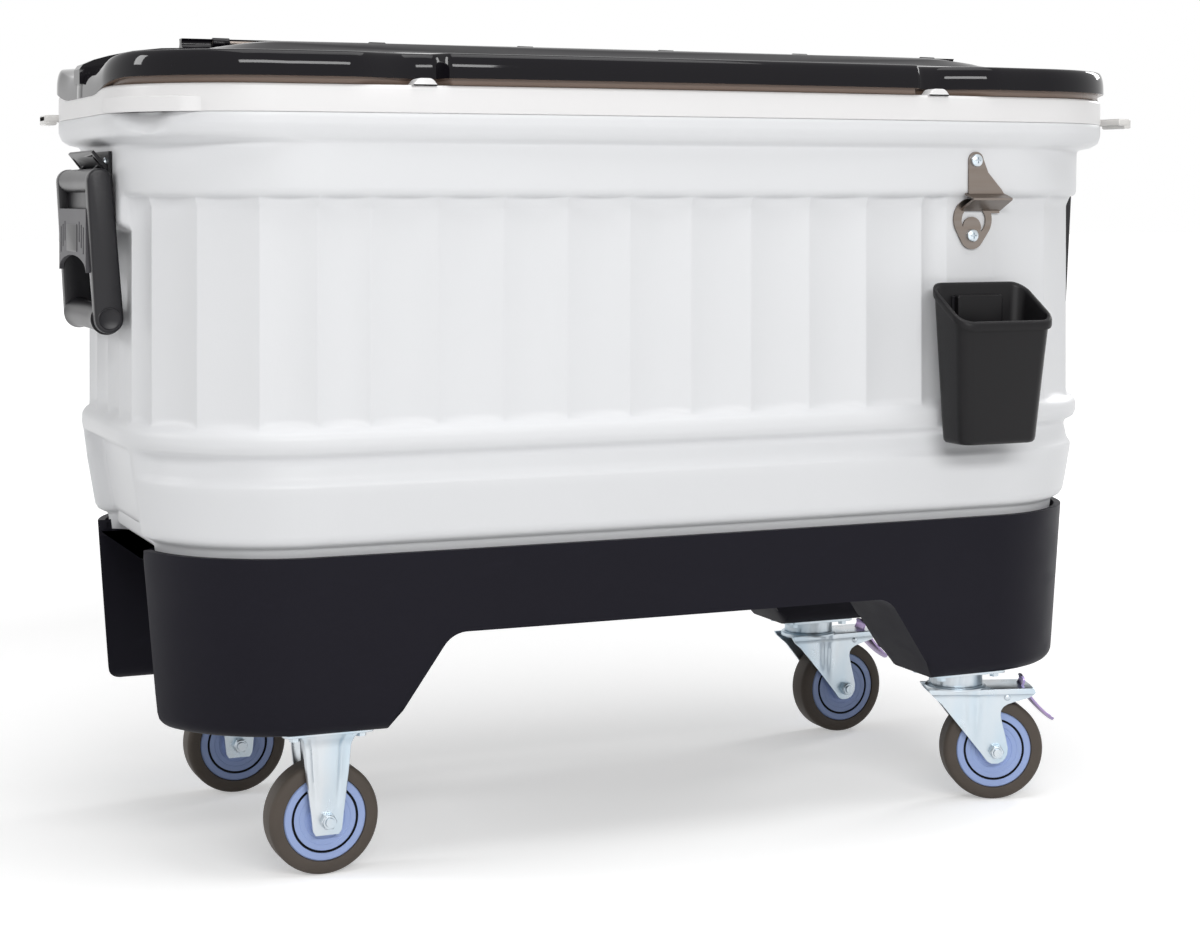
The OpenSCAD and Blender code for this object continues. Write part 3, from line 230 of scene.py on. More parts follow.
def smooth(t):
    """Eases from 0 to 1: three c squared less two c cubed, where c is t kept within 0 and 1."""
    c = np.clip(t, 0.0, 1.0)
    return c * c * (3 - 2 * c)


def mix(a, b, t):
    """The value a share t of the way from a to b."""
    return a + (b - a) * t


def softened(at, knots, values, reach):
    """A broken line through (knots, values), averaged over plus and minus reach, so that its corners are round."""
    offsets = np.linspace(-reach, reach, 9)
    return sum(np.interp(at + d, knots, values) for d in offsets) / len(offsets)


def between(knots, step):
    """Values from the first knot to the last that hold every knot. They are at most step apart, which is one length
    for all or one for each part."""
    steps = np.broadcast_to(step, len(knots) - 1)
    parts = [np.linspace(a, b, max(2, math.ceil((b - a) / d) + 1))[:-1] for a, b, d in zip(knots, knots[1:], steps)]
    return np.concatenate(parts + [knots[-1:]])


def rounded(corners, reach):
    """A closed outline whose corners are curves (1-q)^2 a + 2q(1-q) b + q^2 c, where a and c lie at reach before and
    after a corner b."""
    b = np.asarray(corners, float)
    to_last, to_next = np.roll(b, 1, axis=0) - b, np.roll(b, -1, axis=0) - b
    r = np.broadcast_to(np.asarray(reach, float), len(b))[:, None]
    a = b + to_last / np.linalg.norm(to_last, axis=1)[:, None] * r
    c = b + to_next / np.linalg.norm(to_next, axis=1)[:, None] * r
    q = np.linspace(0, 1, 6)[None, :, None]
    curve = (1 - q) ** 2 * a[:, None] + 2 * q * (1 - q) * b[:, None] + q ** 2 * c[:, None]
    return curve.reshape(-1, b.shape[1])


def inset(outline, distance):
    """A closed outline moved inwards: each point goes along its two sides' inward normals n and m by
    d (n+m)/(1+n.m)."""
    side = np.roll(outline, -1, axis=0) - outline
    side /= np.maximum(np.linalg.norm(side, axis=1)[:, None], 1e-12)
    area = np.sum(outline[:, 0] * np.roll(outline[:, 1], -1) - np.roll(outline[:, 0], -1) * outline[:, 1])
    after = np.stack([-side[:, 1], side[:, 0]], axis=1) * math.copysign(1.0, area)
    before = np.roll(after, 1, axis=0)
    share = 1 + np.sum(after * before, axis=1)
    return outline + distance * (after + before) / np.maximum(share, 0.3)[:, None]


def sheet(points, wrap_rows=False, wrap_columns=False, mark=0):
    """A grid of points with quads between its neighbours."""
    rows, columns = points.shape[:2]
    r = np.arange(rows if wrap_rows else rows - 1)[:, None]
    c = np.arange(columns if wrap_columns else columns - 1)[None, :]
    below, right = (r + 1) % rows, (c + 1) % columns
    quads = np.stack(np.broadcast_arrays(r * columns + c, r * columns + right, below * columns + right,
                                         below * columns + c), axis=-1)
    return points.reshape(-1, 3), quads.reshape(-1, 4).tolist(), mark


def cap(loop, mark=0):
    """One flat face inside a closed loop of points."""
    return loop.reshape(-1, 3), [list(range(len(loop)))], mark


def plate(front, back, mark=0):
    """A closed sheet of material between two grids of the same shape: the grids, and a rim round their edges."""
    edges = [np.concatenate([g[0, :-1], g[:-1, -1], g[-1, :0:-1], g[:0:-1, 0]]) for g in (front, back)]
    return [sheet(front, mark=mark), sheet(back, mark=mark), sheet(np.stack(edges), wrap_columns=True, mark=mark)]


def turned(patches, matrix, place=(0.0, 0.0, 0.0)):
    """Patches turned by a 3 by 3 matrix and moved."""
    return [(points @ np.asarray(matrix, float).T + np.asarray(place, float), faces, mark)
            for points, faces, mark in patches]


def moved(patches, place):
    """Patches moved, but not turned."""
    return turned(patches, UNTURNED, place)


def doubled(patches, matrix):
    """Patches and a turned copy of them."""
    return patches + turned(patches, matrix)


def about_z(angle):
    """The matrix of a turn about Z."""
    c, s = math.cos(angle), math.sin(angle)
    return np.array([[c, -s, 0], [s, c, 0], [0, 0, 1]])


HALF_TURN = about_z(math.pi)
# Columns are the directions of an outline's u, its v and its depth
FACING_FRONT = np.array([[1.0, 0.0, 0.0], [0.0, 0.0, -1.0], [0.0, 1.0, 0.0]])
FACING_LEFT = np.array([[0.0, 0.0, -1.0], [1.0, 0.0, 0.0], [0.0, 1.0, 0.0]])
UNTURNED = np.eye(3)
MIRROR_Y = np.diag([1.0, -1.0, 1.0])


def lathe(profile, steps=72, mark=0):
    """A profile of (radius, height) turned about +Z: the point at angle a is (r cos a, r sin a, h)."""
    a = np.arange(steps) * 2 * math.pi / steps
    r, h = profile[:, 0:1], profile[:, 1:2]
    return sheet(np.stack([r * np.cos(a), r * np.sin(a), h + 0 * a], axis=-1), wrap_columns=True, mark=mark)


def slab(outline, depth, edge, mark=0):
    """A plate over an outline, from height 0 to depth, whose edges are quarter circles of radius edge."""
    a = np.linspace(0, QUARTER, 4)
    low = [(edge * (1 - math.sin(q)), edge * (1 - math.cos(q))) for q in a]
    rows = low + [(d, depth - z) for d, z in reversed(low)]
    loops = [np.column_stack([inset(outline, d), np.full(len(outline), z)]) for d, z in rows]
    return [sheet(np.array(loops), wrap_columns=True, mark=mark), cap(loops[0], mark), cap(loops[-1], mark)]


def make(name, patches, looks, body, replaced=(), crease=38.0):
    """Joins patches into one closed piece on a body: equal points are merged, faces point outwards,
    and edges sharper than the crease angle stay sharp. A patch's mark picks one of the finishes named in looks."""
    counts = np.cumsum([0] + [len(points) for points, _, _ in patches])
    points = np.concatenate([p for p, _, _ in patches])
    faces = [[i + start for i in face] for (_, found, _), start in zip(patches, counts) for face in found]
    mesh = bpy.data.meshes.new(name)
    mesh.from_pydata(points.tolist(), [], faces)
    marks = np.concatenate([np.full(len(found), mark) for _, found, mark in patches])
    mesh.polygons.foreach_set("material_index", marks.astype(np.int32))
    shape = bmesh.new()
    shape.from_mesh(mesh)
    bmesh.ops.remove_doubles(shape, verts=shape.verts, dist=SAME_POINT)
    bmesh.ops.recalc_face_normals(shape, faces=shape.faces)
    shape.to_mesh(mesh)
    shape.free()
    mesh.shade_smooth()
    mesh.set_sharp_from_angle(angle=math.radians(crease))
    piece = bpy.data.objects.new(name, mesh)
    bpy.context.scene.collection.objects.link(piece)
    for look in looks:
        mesh.materials.append(finish(look))
    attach(piece, body)
    if replaced:
        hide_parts(*replaced)
    return piece


def soften_edges(piece, width):
    """Rounds a piece's edges that are sharper than 40 degrees with a bevel."""
    bevel = piece.modifiers.new("Rounded edges", "BEVEL")
    bevel.width = width
    bevel.segments = 2
    bevel.limit_method = "ANGLE"
    bevel.angle_limit = math.radians(40.0)
    bevel.harden_normals = True


def thicken(piece, wall):
    """Gives an open surface a wall on its inner side."""
    solid = piece.modifiers.new("Wall", "SOLIDIFY")
    solid.thickness = wall
    solid.offset = -1
    solid.use_even_offset = True


# Finishes


class Value:
    """A number inside a node tree: arithmetic on it adds Math nodes."""

    def __init__(self, nodes, socket):
        self.nodes, self.socket = nodes, socket

    def maths(self, operation, *others):
        """This value and others through one Math node."""
        made = self.nodes.node("ShaderNodeMath", {"operation": operation}, self, *others)
        return Value(self.nodes, made.outputs[0])

    def __add__(self, other):
        return self.maths("ADD", other)

    def __sub__(self, other):
        return self.maths("SUBTRACT", other)

    def __rsub__(self, other):
        return self.maths("MULTIPLY", -1.0).maths("ADD", other)

    def __mul__(self, other):
        return self.maths("MULTIPLY", other)

    __radd__ = __add__
    __rmul__ = __mul__


class Nodes:
    """A node tree under construction."""

    def __init__(self, tree):
        self.tree = tree

    def feed(self, socket, value):
        """Links a value or an output to a socket, or writes a constant on it."""
        if isinstance(value, Value):
            value = value.socket
        if isinstance(value, bpy.types.NodeSocket):
            self.tree.links.new(value, socket)
        else:
            socket.default_value = value

    def node(self, kind, settings, *inputs, **named):
        """Adds a node: its settings come first, then inputs by order and by name."""
        made = self.tree.nodes.new(kind)
        for key, value in settings.items():
            setattr(made, key, value)
        for socket, value in zip(made.inputs, inputs):
            self.feed(socket, value)
        for key, value in named.items():
            self.feed(made.inputs[key.replace("_", " ")], value)
        return made

    def spread(self, value, low, high, **ends):
        """A value whose range low to high becomes 0 to 1, or the ends that are named."""
        made = self.node("ShaderNodeMapRange", {}, value, low, high, **ends)
        return Value(self, made.outputs[0])

    def seen(self):
        """1 or more for rays from the camera, off a glossy surface or through a clear one, and 0 for others."""
        rays = self.node("ShaderNodeLightPath", {}).outputs
        camera, glossy, clear = (Value(self, rays[f"Is {kind} Ray"]) for kind in ("Camera", "Glossy", "Transmission"))
        return camera + glossy + clear


class Finish(Nodes):
    """A material under construction: a Principled shader and the nodes that vary it."""

    def __init__(self, name, colour, roughness, **sockets):
        self.material = bpy.data.materials.new(name)
        self.material.use_nodes = True
        super().__init__(self.material.node_tree)
        self.shader = self.tree.nodes["Principled BSDF"]
        self.colour = tuple(colour) + (1.0,)
        self.material.diffuse_color = self.colour
        self.set("Base Color", self.colour)
        self.set("Roughness", roughness)
        for socket, value in sockets.items():
            self.set(socket.replace("_", " "), value)
        self.place = self.node("ShaderNodeTexCoord", {}).outputs["Object"]

    def set(self, socket, value):
        """Sets a shader socket to a number, or links it."""
        self.feed(self.shader.inputs[socket], value)

    def noise(self, scale, detail=2.0, stretch=(1.0, 1.0, 1.0)):
        """Cloudy variation from 0 to 1: about scale spots a metre, stretched along the axes."""
        mapped = self.node("ShaderNodeMapping", {}, self.place, Scale=stretch)
        made = self.node("ShaderNodeTexNoise", {}, mapped.outputs[0], Scale=scale, Detail=detail)
        return Value(self, made.outputs["Fac"])

    def shades(self, factor, dark, light):
        """A colour between two shares of the finish's own colour."""
        ends = [tuple(c * k for c in self.colour[:3]) + (1.0,) for k in (dark, light)]
        return self.blend(factor, *ends)

    def blend(self, factor, first, second):
        """A colour mixed from two."""
        made = self.node("ShaderNodeMix", {"data_type": "RGBA"})
        self.feed(made.inputs["Factor"], factor)
        self.feed(made.inputs[6], first)
        self.feed(made.inputs[7], second)
        return made.outputs[2]

    def bump(self, height, strength, distance):
        """Raises the surface where height is high."""
        made = self.node("ShaderNodeBump", {}, Strength=strength, Distance=distance, Height=height)
        self.set("Normal", made.outputs[0])


def moulded(name, colour, roughness, grain=0.12, **sockets):
    """Satin moulded plastic: faint clouds in the colour, uneven gloss and a fine orange peel."""
    finish = Finish(name, colour, roughness, **sockets)
    clouds = finish.noise(4.0, 3.0)
    finish.set("Base Color", finish.shades(clouds, 0.97, 1.03))
    finish.set("Roughness", finish.noise(9.0, 2.0) * 0.16 + (roughness - 0.08))
    finish.bump(finish.noise(420.0, 2.0), grain, 0.0004)
    return finish


def cast_base(colour):
    """Dark moulded plastic with a dull grain, scuffs and a slight purple bloom."""
    finish = Finish("dark_base", colour, 0.5, Specular_IOR_Level=0.1)
    scuffs = finish.spread(finish.noise(14.0, 6.0, (1.0, 1.0, 2.5)), 0.62, 0.78)
    finish.set("Base Color", finish.shades(finish.noise(3.0, 3.0) + scuffs * 0.5, 0.8, 1.25))
    finish.set("Roughness", finish.noise(30.0, 4.0) * 0.14 + 0.42 + scuffs * 0.08)
    finish.bump(finish.noise(900.0, 2.0), 0.22, 0.0003)
    return finish


def smoked_plastic(colour):
    """Polished dark plastic: very smooth, with the faintest waves and specks of dust."""
    finish = Finish("smoked_lid", colour, 0.05, Specular_IOR_Level=0.2)
    dust = finish.spread(finish.noise(700.0, 2.0), 0.74, 0.8)
    finish.set("Base Color", finish.shades(finish.noise(2.5, 2.0) + dust * 1.5, 0.9, 1.15))
    finish.set("Roughness", dust * 0.3 + finish.noise(5.0, 2.0) * 0.03 + 0.03)
    finish.bump(finish.noise(16.0, 1.0), 0.03, 0.001)
    return finish


def plated(name, colour, roughness, streak=(1.0, 1.0, 0.25), tint=(0.8, 0.92, 1.0)):
    """Zinc plated sheet: bright metal with cloudy bluish spangle, drawn streaks and soft dents."""
    finish = Finish(name, colour, roughness, Metallic=1.0)
    clouds = finish.spread(finish.noise(26.0, 3.0, streak), 0.35, 0.68)
    cool = tuple(c * t for c, t in zip(colour, tint)) + (1.0,)
    finish.set("Base Color", finish.blend(clouds, tuple(colour) + (1.0,), cool))
    finish.set("Roughness", finish.noise(60.0, 3.0, streak) * 0.2 + (roughness - 0.1))
    finish.bump(finish.noise(90.0, 2.0, streak), 0.08, 0.0006)
    return finish


def rubber(colour):
    """Dull rubber with a fine grain and a dusty bloom."""
    finish = Finish("tyre", colour, 0.62, Specular_IOR_Level=0.35)
    bloom = finish.noise(35.0, 5.0)
    finish.set("Base Color", finish.shades(bloom, 0.82, 1.2))
    finish.set("Roughness", bloom * 0.2 + 0.5)
    finish.bump(finish.noise(1500.0, 2.0), 0.2, 0.0002)
    return finish


def all_finishes():
    """Makes every finish once and keeps them by name."""
    c = chest().colours
    return {
        "tub": moulded("white_tub", c.tub, 0.42),
        "frame": moulded("white_frame", c.lid_frame, 0.34, grain=0.05),
        "liner": moulded("white_liner", c.liner, 0.4, grain=0.06),
        "base": cast_base(c.base),
        "lid": smoked_plastic(c.smoked),
        # Painted light: brown for the light shining through the thin smoked flange
        "flange": moulded("lid_flange_painted_backlight", c.flange, 0.3, grain=0.04),
        "tab": moulded("clear_tab", c.tab, 0.25, grain=0.05),
        "zinc": plated("zinc", c.zinc, 0.3),
        "tinted": plated("tinted_zinc", c.tinted, 0.32),
        "stainless": plated("stainless", c.stainless, 0.36, (0.2, 1.0, 6.0), (0.92, 0.88, 0.84)),
        "tyre": rubber(c.tyre),
        "hub": moulded("blue_hub", c.hub, 0.34, grain=0.08),
        "black": moulded("black_plastic", c.black, 0.36, grain=0.15, Specular_IOR_Level=0.35),
        # Painted sheen: a lighter grey than the black plastic, for the light on the bridges' outer faces
        "bridge": moulded("bridge_painted_sheen", c.bridge, 0.5, grain=0.2),
        "bin": moulded("bin_plastic", c.bin, 0.4, grain=0.15, Specular_IOR_Level=0.22),
        # Painted shade: the hub's groove is coloured near black for the shade inside it
        "groove": Finish("hub_groove_painted_shade", c.groove, 0.8),
    }


finishes = {}


def finish(name):
    """One finished material by its short name."""
    if not finishes:
        finishes.update(all_finishes())
    return finishes[name].material


# The plan of the tub, which rim, lids and base follow

LEAST_RADIUS = 12 * MM
KEPT_SHARE = 0.8
# The rim stands out less along the long sides than at the ends, by this share
LONG_SIDE = 0.8


class Outline:
    """The tub's plan. A walk s runs along the fluted wall from the middle of the left end, round the front,
    to the middle of the right end, and the other half is this half turned about the middle."""

    def __init__(self):
        tub = chest().tub
        self.tub = tub
        self.half_x = HALF_RIM - tub.rim_out
        self.half_y = shell_high.y - LONG_SIDE * tub.rim_out
        self.side = self.half_x - tub.corner_r
        self.corner = tub.corner_r * QUARTER
        self.end = self.half_y - tub.wall_bow - tub.corner_r
        self.run = self.side + self.corner + self.end

    def points(self, s, out, crest=0.0):
        """Plan points at distance out from the fluted walls. A long side is a parabola y = -(h - bow (x/sx)^2),
        a corner an arc, an end a straight line. Crest 0 is the walls' shape and 1 the rim's."""
        tub = self.tub
        s, out, crest = np.broadcast_arrays(np.asarray(s, float), np.asarray(out, float), np.asarray(crest, float))
        half_x = self.half_x + out
        half_y = self.half_y + out * (1 - (1 - LONG_SIDE) * crest)
        radius = mix(tub.corner_r + out, tub.rim_r + out - tub.rim_out, crest)
        radius = np.maximum(radius, LEAST_RADIUS)
        bow = mix(tub.wall_bow, tub.rim_bow, crest)
        sx, sy = half_x - radius, half_y - bow - radius
        t = np.abs(s)
        kept = KEPT_SHARE * self.side
        x = np.where(t <= kept, t, kept + (t - kept) * (sx - kept) / (self.side - kept))
        angle = np.clip((t - self.side) / self.corner * QUARTER, 0, QUARTER)
        on_side = t <= self.side
        on_end = t > self.side + self.corner
        px = np.where(on_side, x, np.where(on_end, half_x, sx + radius * np.sin(angle)))
        py = np.where(on_side, -(half_y - bow * (np.minimum(x, sx) / sx) ** 2), np.where(
            on_end, -sy + sy * (t - self.side - self.corner) / self.end, -(sy + radius * np.cos(angle))))
        return np.stack([np.where(s < 0, -px, px), py], axis=-1)

    def walk(self, step):
        """Walk values at most step apart that hold both ends of each corner."""
        bends = np.array([self.side, self.side + self.corner, self.run])
        return between(np.concatenate([-bends[::-1], bends]), step)[:-1]

    def corner_angle(self, s):
        """How far round its corner the walk s is, in degrees."""
        return (np.abs(s) - self.side) / self.corner * 90

    def face_y(self, x, out):
        """The front face's y at x, for the walls' shape."""
        return -(self.half_y + out - self.tub.wall_bow * (x / self.side) ** 2)


def full_loop(half):
    """Both halves of a ring or of a grid of rings whose columns follow the walk."""
    other = half * np.array([-1.0, -1.0, 1.0])
    return np.concatenate([half, other], axis=-2)


def raised(plan, z):
    """Plan points with their heights."""
    z = np.broadcast_to(np.asarray(z, float), plan.shape[:-1])
    return np.concatenate([plan, z[..., None]], axis=-1)


# Tub

# Where the points of a flute lie, as shares of its width
FLUTE_SHARES = np.array([0, 0.02, 0.1, 0.22, 0.36, 0.5, 0.64, 0.78, 0.9, 0.98])
# Degrees round a corner at which its flutes meet
CORNER_EDGES = np.array([2.0, 22.2, 45.0, 66.4, 81.0])
END_FLUTE = 51 * MM
FOOT_STEP = 8 * MM
# Degrees round a corner at which the groove between band and ledge stops, and over which it fades
GROOVE_STOP, GROOVE_FADE = 66.0, 12.0
RECESS_EDGE = 16 * MM
PAD_EDGE = 7 * MM
# The finger scoop's middle and half its width, as shares of a corner's walk
SCOOP_PLACE, SCOOP_SHARE = 0.64, 0.2
TUB_WALL, LINER_WALL = 42 * MM, 4 * MM


def flute_walk(plan):
    """Walk values from one flute's edge to the next, with each point's share of the flute's depth: 1 - (2t - 1)^2.
    The edges lie a pitch apart on the front, and at the named angles of the corners."""
    tub, run = plan.tub, plan.run
    left, right = tub.ridge_x - tub.ridge_w / 2, tub.ridge_x + tub.ridge_w / 2
    corner = np.append(plan.side + plan.corner * CORNER_EDGES / 90, [run - END_FLUTE, run])
    count = math.floor((tub.flute_start + plan.side) / tub.flute_pitch) + 1
    front = tub.flute_start - np.arange(count) * tub.flute_pitch
    edges = np.concatenate([-corner[::-1], front[::-1], [left, right], corner[1:]])
    t = FLUTE_SHARES[None, :]
    start, step = edges[:-1, None], np.diff(edges)[:, None]
    depth = np.where(np.isclose(start, left), 0.0, 1 - (2 * t - 1) ** 2)
    return (start + t * step).ravel(), depth.ravel()


def tub_sections(tub):
    """The outside of the tub from its foot to its rim: rows of height, reach on the walls, reach on the corner lobes,
    and the shares of the flutes, of the end recess, of the rim's plan, of the finger scoop and of the handle pad."""
    tub_z = (FOOT_Z + FOOT_STEP + tub.foot_h) / MM
    band, ledge, top, pad = tub.band_h / MM, tub.ledge_top / MM, RIM_TOP / MM - tub_z, tub.pad_h / MM
    under = top - tub.rim_h / MM
    belt = under - tub.belt_h / MM
    out, belt_out, rim_out = tub.ledge_out / MM, tub.belt_out / MM, tub.rim_out / MM
    rows = [
        [FOOT_Z / MM - tub_z, -20, -20, 0, 1, 0, 0, 0],
        [-1, -18, -18, 0, 1, 0, 0, 0],
        [0, -14, -14, 0, 1, 0, 0, 0],
        [3, -8.5, -8.5, 0, 1, 0, 0, 0],
        [8, -5.5, -5.5, 0, 1, 0, 0, 0],
        [band - 7, 1.5, 1.5, 0, 1, 0, 0, 0],
        [band - 1, 2, 2.5, 0, 1, 0, 0, 0],
        [band + 4, -1.5, 3, 0, 1, 0, 0, 0],
        [ledge - 30, -5, 5, 0, 1, 0, 0, 0],
        [ledge - 25.5, -3, 5.5, 0, 0.45, 0, 0, 0],
        [ledge - 21, out - 2, out - 1, 0, 0, 0, 0, 0],
        [ledge - 15, out, out, 0, 0, 0, 0, 0],
        [ledge - 7, out - 0.5, out - 0.5, 0, 0, 0, 0, 0],
        [ledge - 2, out - 3.5, out - 3.5, 0, 0, 0, 0, 0],
        [ledge, 0.3, 0.3, 0.2, 0, 0, 0, 0],
        [ledge + 6, 0, 0, 1, 0, 0, 0, 0],
        [belt - pad - 7, 0, 0, 1, 0, 0, 0, 0],
        [belt - pad, 0, 0, 1, 0, 0, 0, 0.9],
        [belt - pad + 3, 0, 0, 1, 0, 0, 0, 1],
        [belt - 9, 0, 0, 1, 0, 0, 0, 1],
        [belt - 3, 2.4, 2.4, 1.1, 0, 0, 0, 1],
        [belt - 0.3, 3.6, 3.6, 1.25, 0, 0, 0, 1],
        [belt + 0.7, belt_out - 3.4, belt_out - 3.4, 0.5, 0, 0, 0, 1],
        [belt + 1.6, belt_out - 1.8, belt_out - 1.8, 0, 0, 0, 0, 1],
        [belt + 6, belt_out, belt_out, 0, 0, 0, 0, 1],
        [under - 4, belt_out + 0.5, belt_out + 0.5, 0, 0, 0, 0, 1],
        [under - 0.5, belt_out + 1, belt_out + 1, 0, 0, 0.1, 0, 1],
        [under + 1.5, rim_out - 9, rim_out - 9, 0, 0, 0.7, 0, 0],
        [under + 6, rim_out - 3, rim_out - 3, 0, 0, 1, 0.3, 0],
        [top - 11, rim_out, rim_out, 0, 0, 1, 1, 0],
        [top - 2, rim_out, rim_out, 0, 0, 1, 1, 0],
        [top, rim_out - 1.5, rim_out - 1.5, 0, 0, 1, 1, 0]]
    sections = np.array(rows)
    sections[:, 0] += tub_z
    sections[:, :3] *= MM
    return sections


def tub_outside(plan):
    """The tub's outside: at walk s and height z the wall stands out by its section there, less the flute's,
    the recess's and the scoop's depth, each a share along s times a share along z."""
    tub = plan.tub
    s, flute = flute_walk(plan)
    rows = tub_sections(tub)
    knots = rows[:, 0]
    z = between(knots, 3 * MM)
    soft = 0.8 * MM
    z_soft = np.clip(z, knots[0] + soft, knots[-1] - soft)
    wall, lobe, flutes, recess, crest, scoop, pad = (softened(z_soft, knots, rows[:, i], soft)[:, None]
                                                     for i in range(1, 8))
    groove = 1 - smooth((plan.corner_angle(s) - GROOVE_STOP) / GROOVE_FADE)
    to_middle = plan.run - np.abs(s)
    in_recess = 1 - smooth((to_middle - tub.recess_w / 2 + RECESS_EDGE) / RECESS_EDGE)
    on_pad = pad * (1 - smooth((to_middle - tub.pad_w / 2 + PAD_EDGE) / PAD_EDGE))
    scoop_at = -(plan.side + plan.corner * SCOOP_PLACE)
    in_scoop = 1 - smooth(np.abs(s - scoop_at) / (plan.corner * SCOOP_SHARE))
    out = mix(lobe, wall, groove) - tub.flute_depth * flutes * flute
    out = np.maximum(out, mix(out, tub.belt_out, on_pad))
    out = out - tub.recess_depth * recess * in_recess - tub.scoop_depth * scoop * in_scoop
    return full_loop(raised(plan.points(s, out, crest), z[:, None]))


class ICE_CHEST_OT_tub(Operator):
    """Makes the fluted white tub and its liner"""

    bl_idname = "ice_chest.tub"
    bl_label = "Tub"

    def execute(self, context):
        plan = Outline()
        outside = tub_outside(plan)
        s, _ = flute_walk(plan)
        flange = 8 * MM
        inner = plan.points(s, LINER_WALL - TUB_WALL)
        shelf = full_loop(np.array([raised(inner, RIM_TOP), raised(inner, RIM_TOP - flange)]))
        top = np.concatenate([outside[-1:], shelf])
        under = np.stack([outside[0], shelf[-1] * [1, 1, 0] + [0, 0, FOOT_Z + flange]])
        patches = [sheet(outside, wrap_columns=True), sheet(top, wrap_columns=True),
                   sheet(under, wrap_columns=True),
                   sheet(np.stack([under[1], shelf[-1]]), wrap_columns=True)]
        make("tub_skin", patches, ["tub"], "chest", ["tub_shell"], crease=60.0)
        self.liner(plan)
        return {"FINISHED"}

    def liner(self, plan):
        """The liner is two nested basins whose walls follow the plan at a constant distance."""
        low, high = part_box("tub_liner")
        s = plan.walk(15 * MM)
        wall, outer = TUB_WALL, TUB_WALL - LINER_WALL
        floor = low.z + LINER_WALL
        cove = 14 * MM
        inner = [[-wall - cove * (1 - math.sin(a)), floor + cove * (1 - math.cos(a))]
                 for a in np.linspace(0, QUARTER, 5)]
        rows = np.array([[-outer, low.z], [-outer, high.z], [-wall, high.z]] + inner[::-1])
        grid = full_loop(raised(plan.points(s, rows[:, :1]), rows[:, 1:]))
        make("liner_basin", [sheet(grid, wrap_columns=True), cap(grid[0]), cap(grid[-1])],
             ["liner"], "chest", ["tub_liner"])


# Lid frame and lids

# Width and height of the rounding between a lid's side and its top
LID_EDGE, LID_BEND = 9 * MM, 17 * MM
# Length of the raised panel's slope at its ends, and half the width of the step at its front
PANEL_RAMP, PANEL_EDGE = 105 * MM, 7 * MM
# How deep the lids' edge sags at the ends, how far in that fades, and its start and slope in y and in x
DROOP, DROOP_FADE = 13 * MM, 90 * MM
DROOP_START, DROOP_WIDTH = 165 * MM, 110 * MM
DROOP_X, DROOP_X_RAMP = 400 * MM, 100 * MM
# Towards the ends the rows of a lid move in by this share of their distance, and the lid is this much shorter
END_SHARE, END_TUCK = 0.6, 4.5 * MM
CROWN_SLOPE = 0.045
# A finger notch starts with a short step, stays deep, ramps out along the edge, and fades towards the lid's middle
NOTCH_NEAR, NOTCH_STEP, NOTCH_FLAT, NOTCH_RAMP = 20 * MM, 13 * MM, 8 * MM, 76 * MM
NOTCH_FADE, NOTCH_END = 70 * MM, 0.2
CAP_REACH = 66 * MM
FLANGE_OUT, FLANGE_BEFORE, FLANGE_AFTER = 9 * MM, 0.24, 0.3
TAB_CORNERS = [1 * MM, 8 * MM, 8 * MM, 1 * MM]
TAB_ASIDE, TAB_HALF, TAB_BACK = 68 * MM, 20 * MM, 8 * MM


def notch_share(x, lid):
    """How deep the finger notch is at x: it rises from 0 to 1 over a short step, stays 1, and ramps out again."""
    t = np.abs(x) - lid.notch_x
    return smooth((t + NOTCH_NEAR) / NOTCH_STEP) * (1 - smooth((t - NOTCH_FLAT) / (NOTCH_RAMP - NOTCH_FLAT)))


def lid_droop(x, y, inwards):
    """How far the lids' edge sags towards the middle of the ends, less and less further in."""
    share = smooth((DROOP_START - np.abs(y)) / DROOP_WIDTH) * smooth((np.abs(x) - DROOP_X) / DROOP_X_RAMP)
    return DROOP * share * (1 - smooth(inwards / DROOP_FADE))


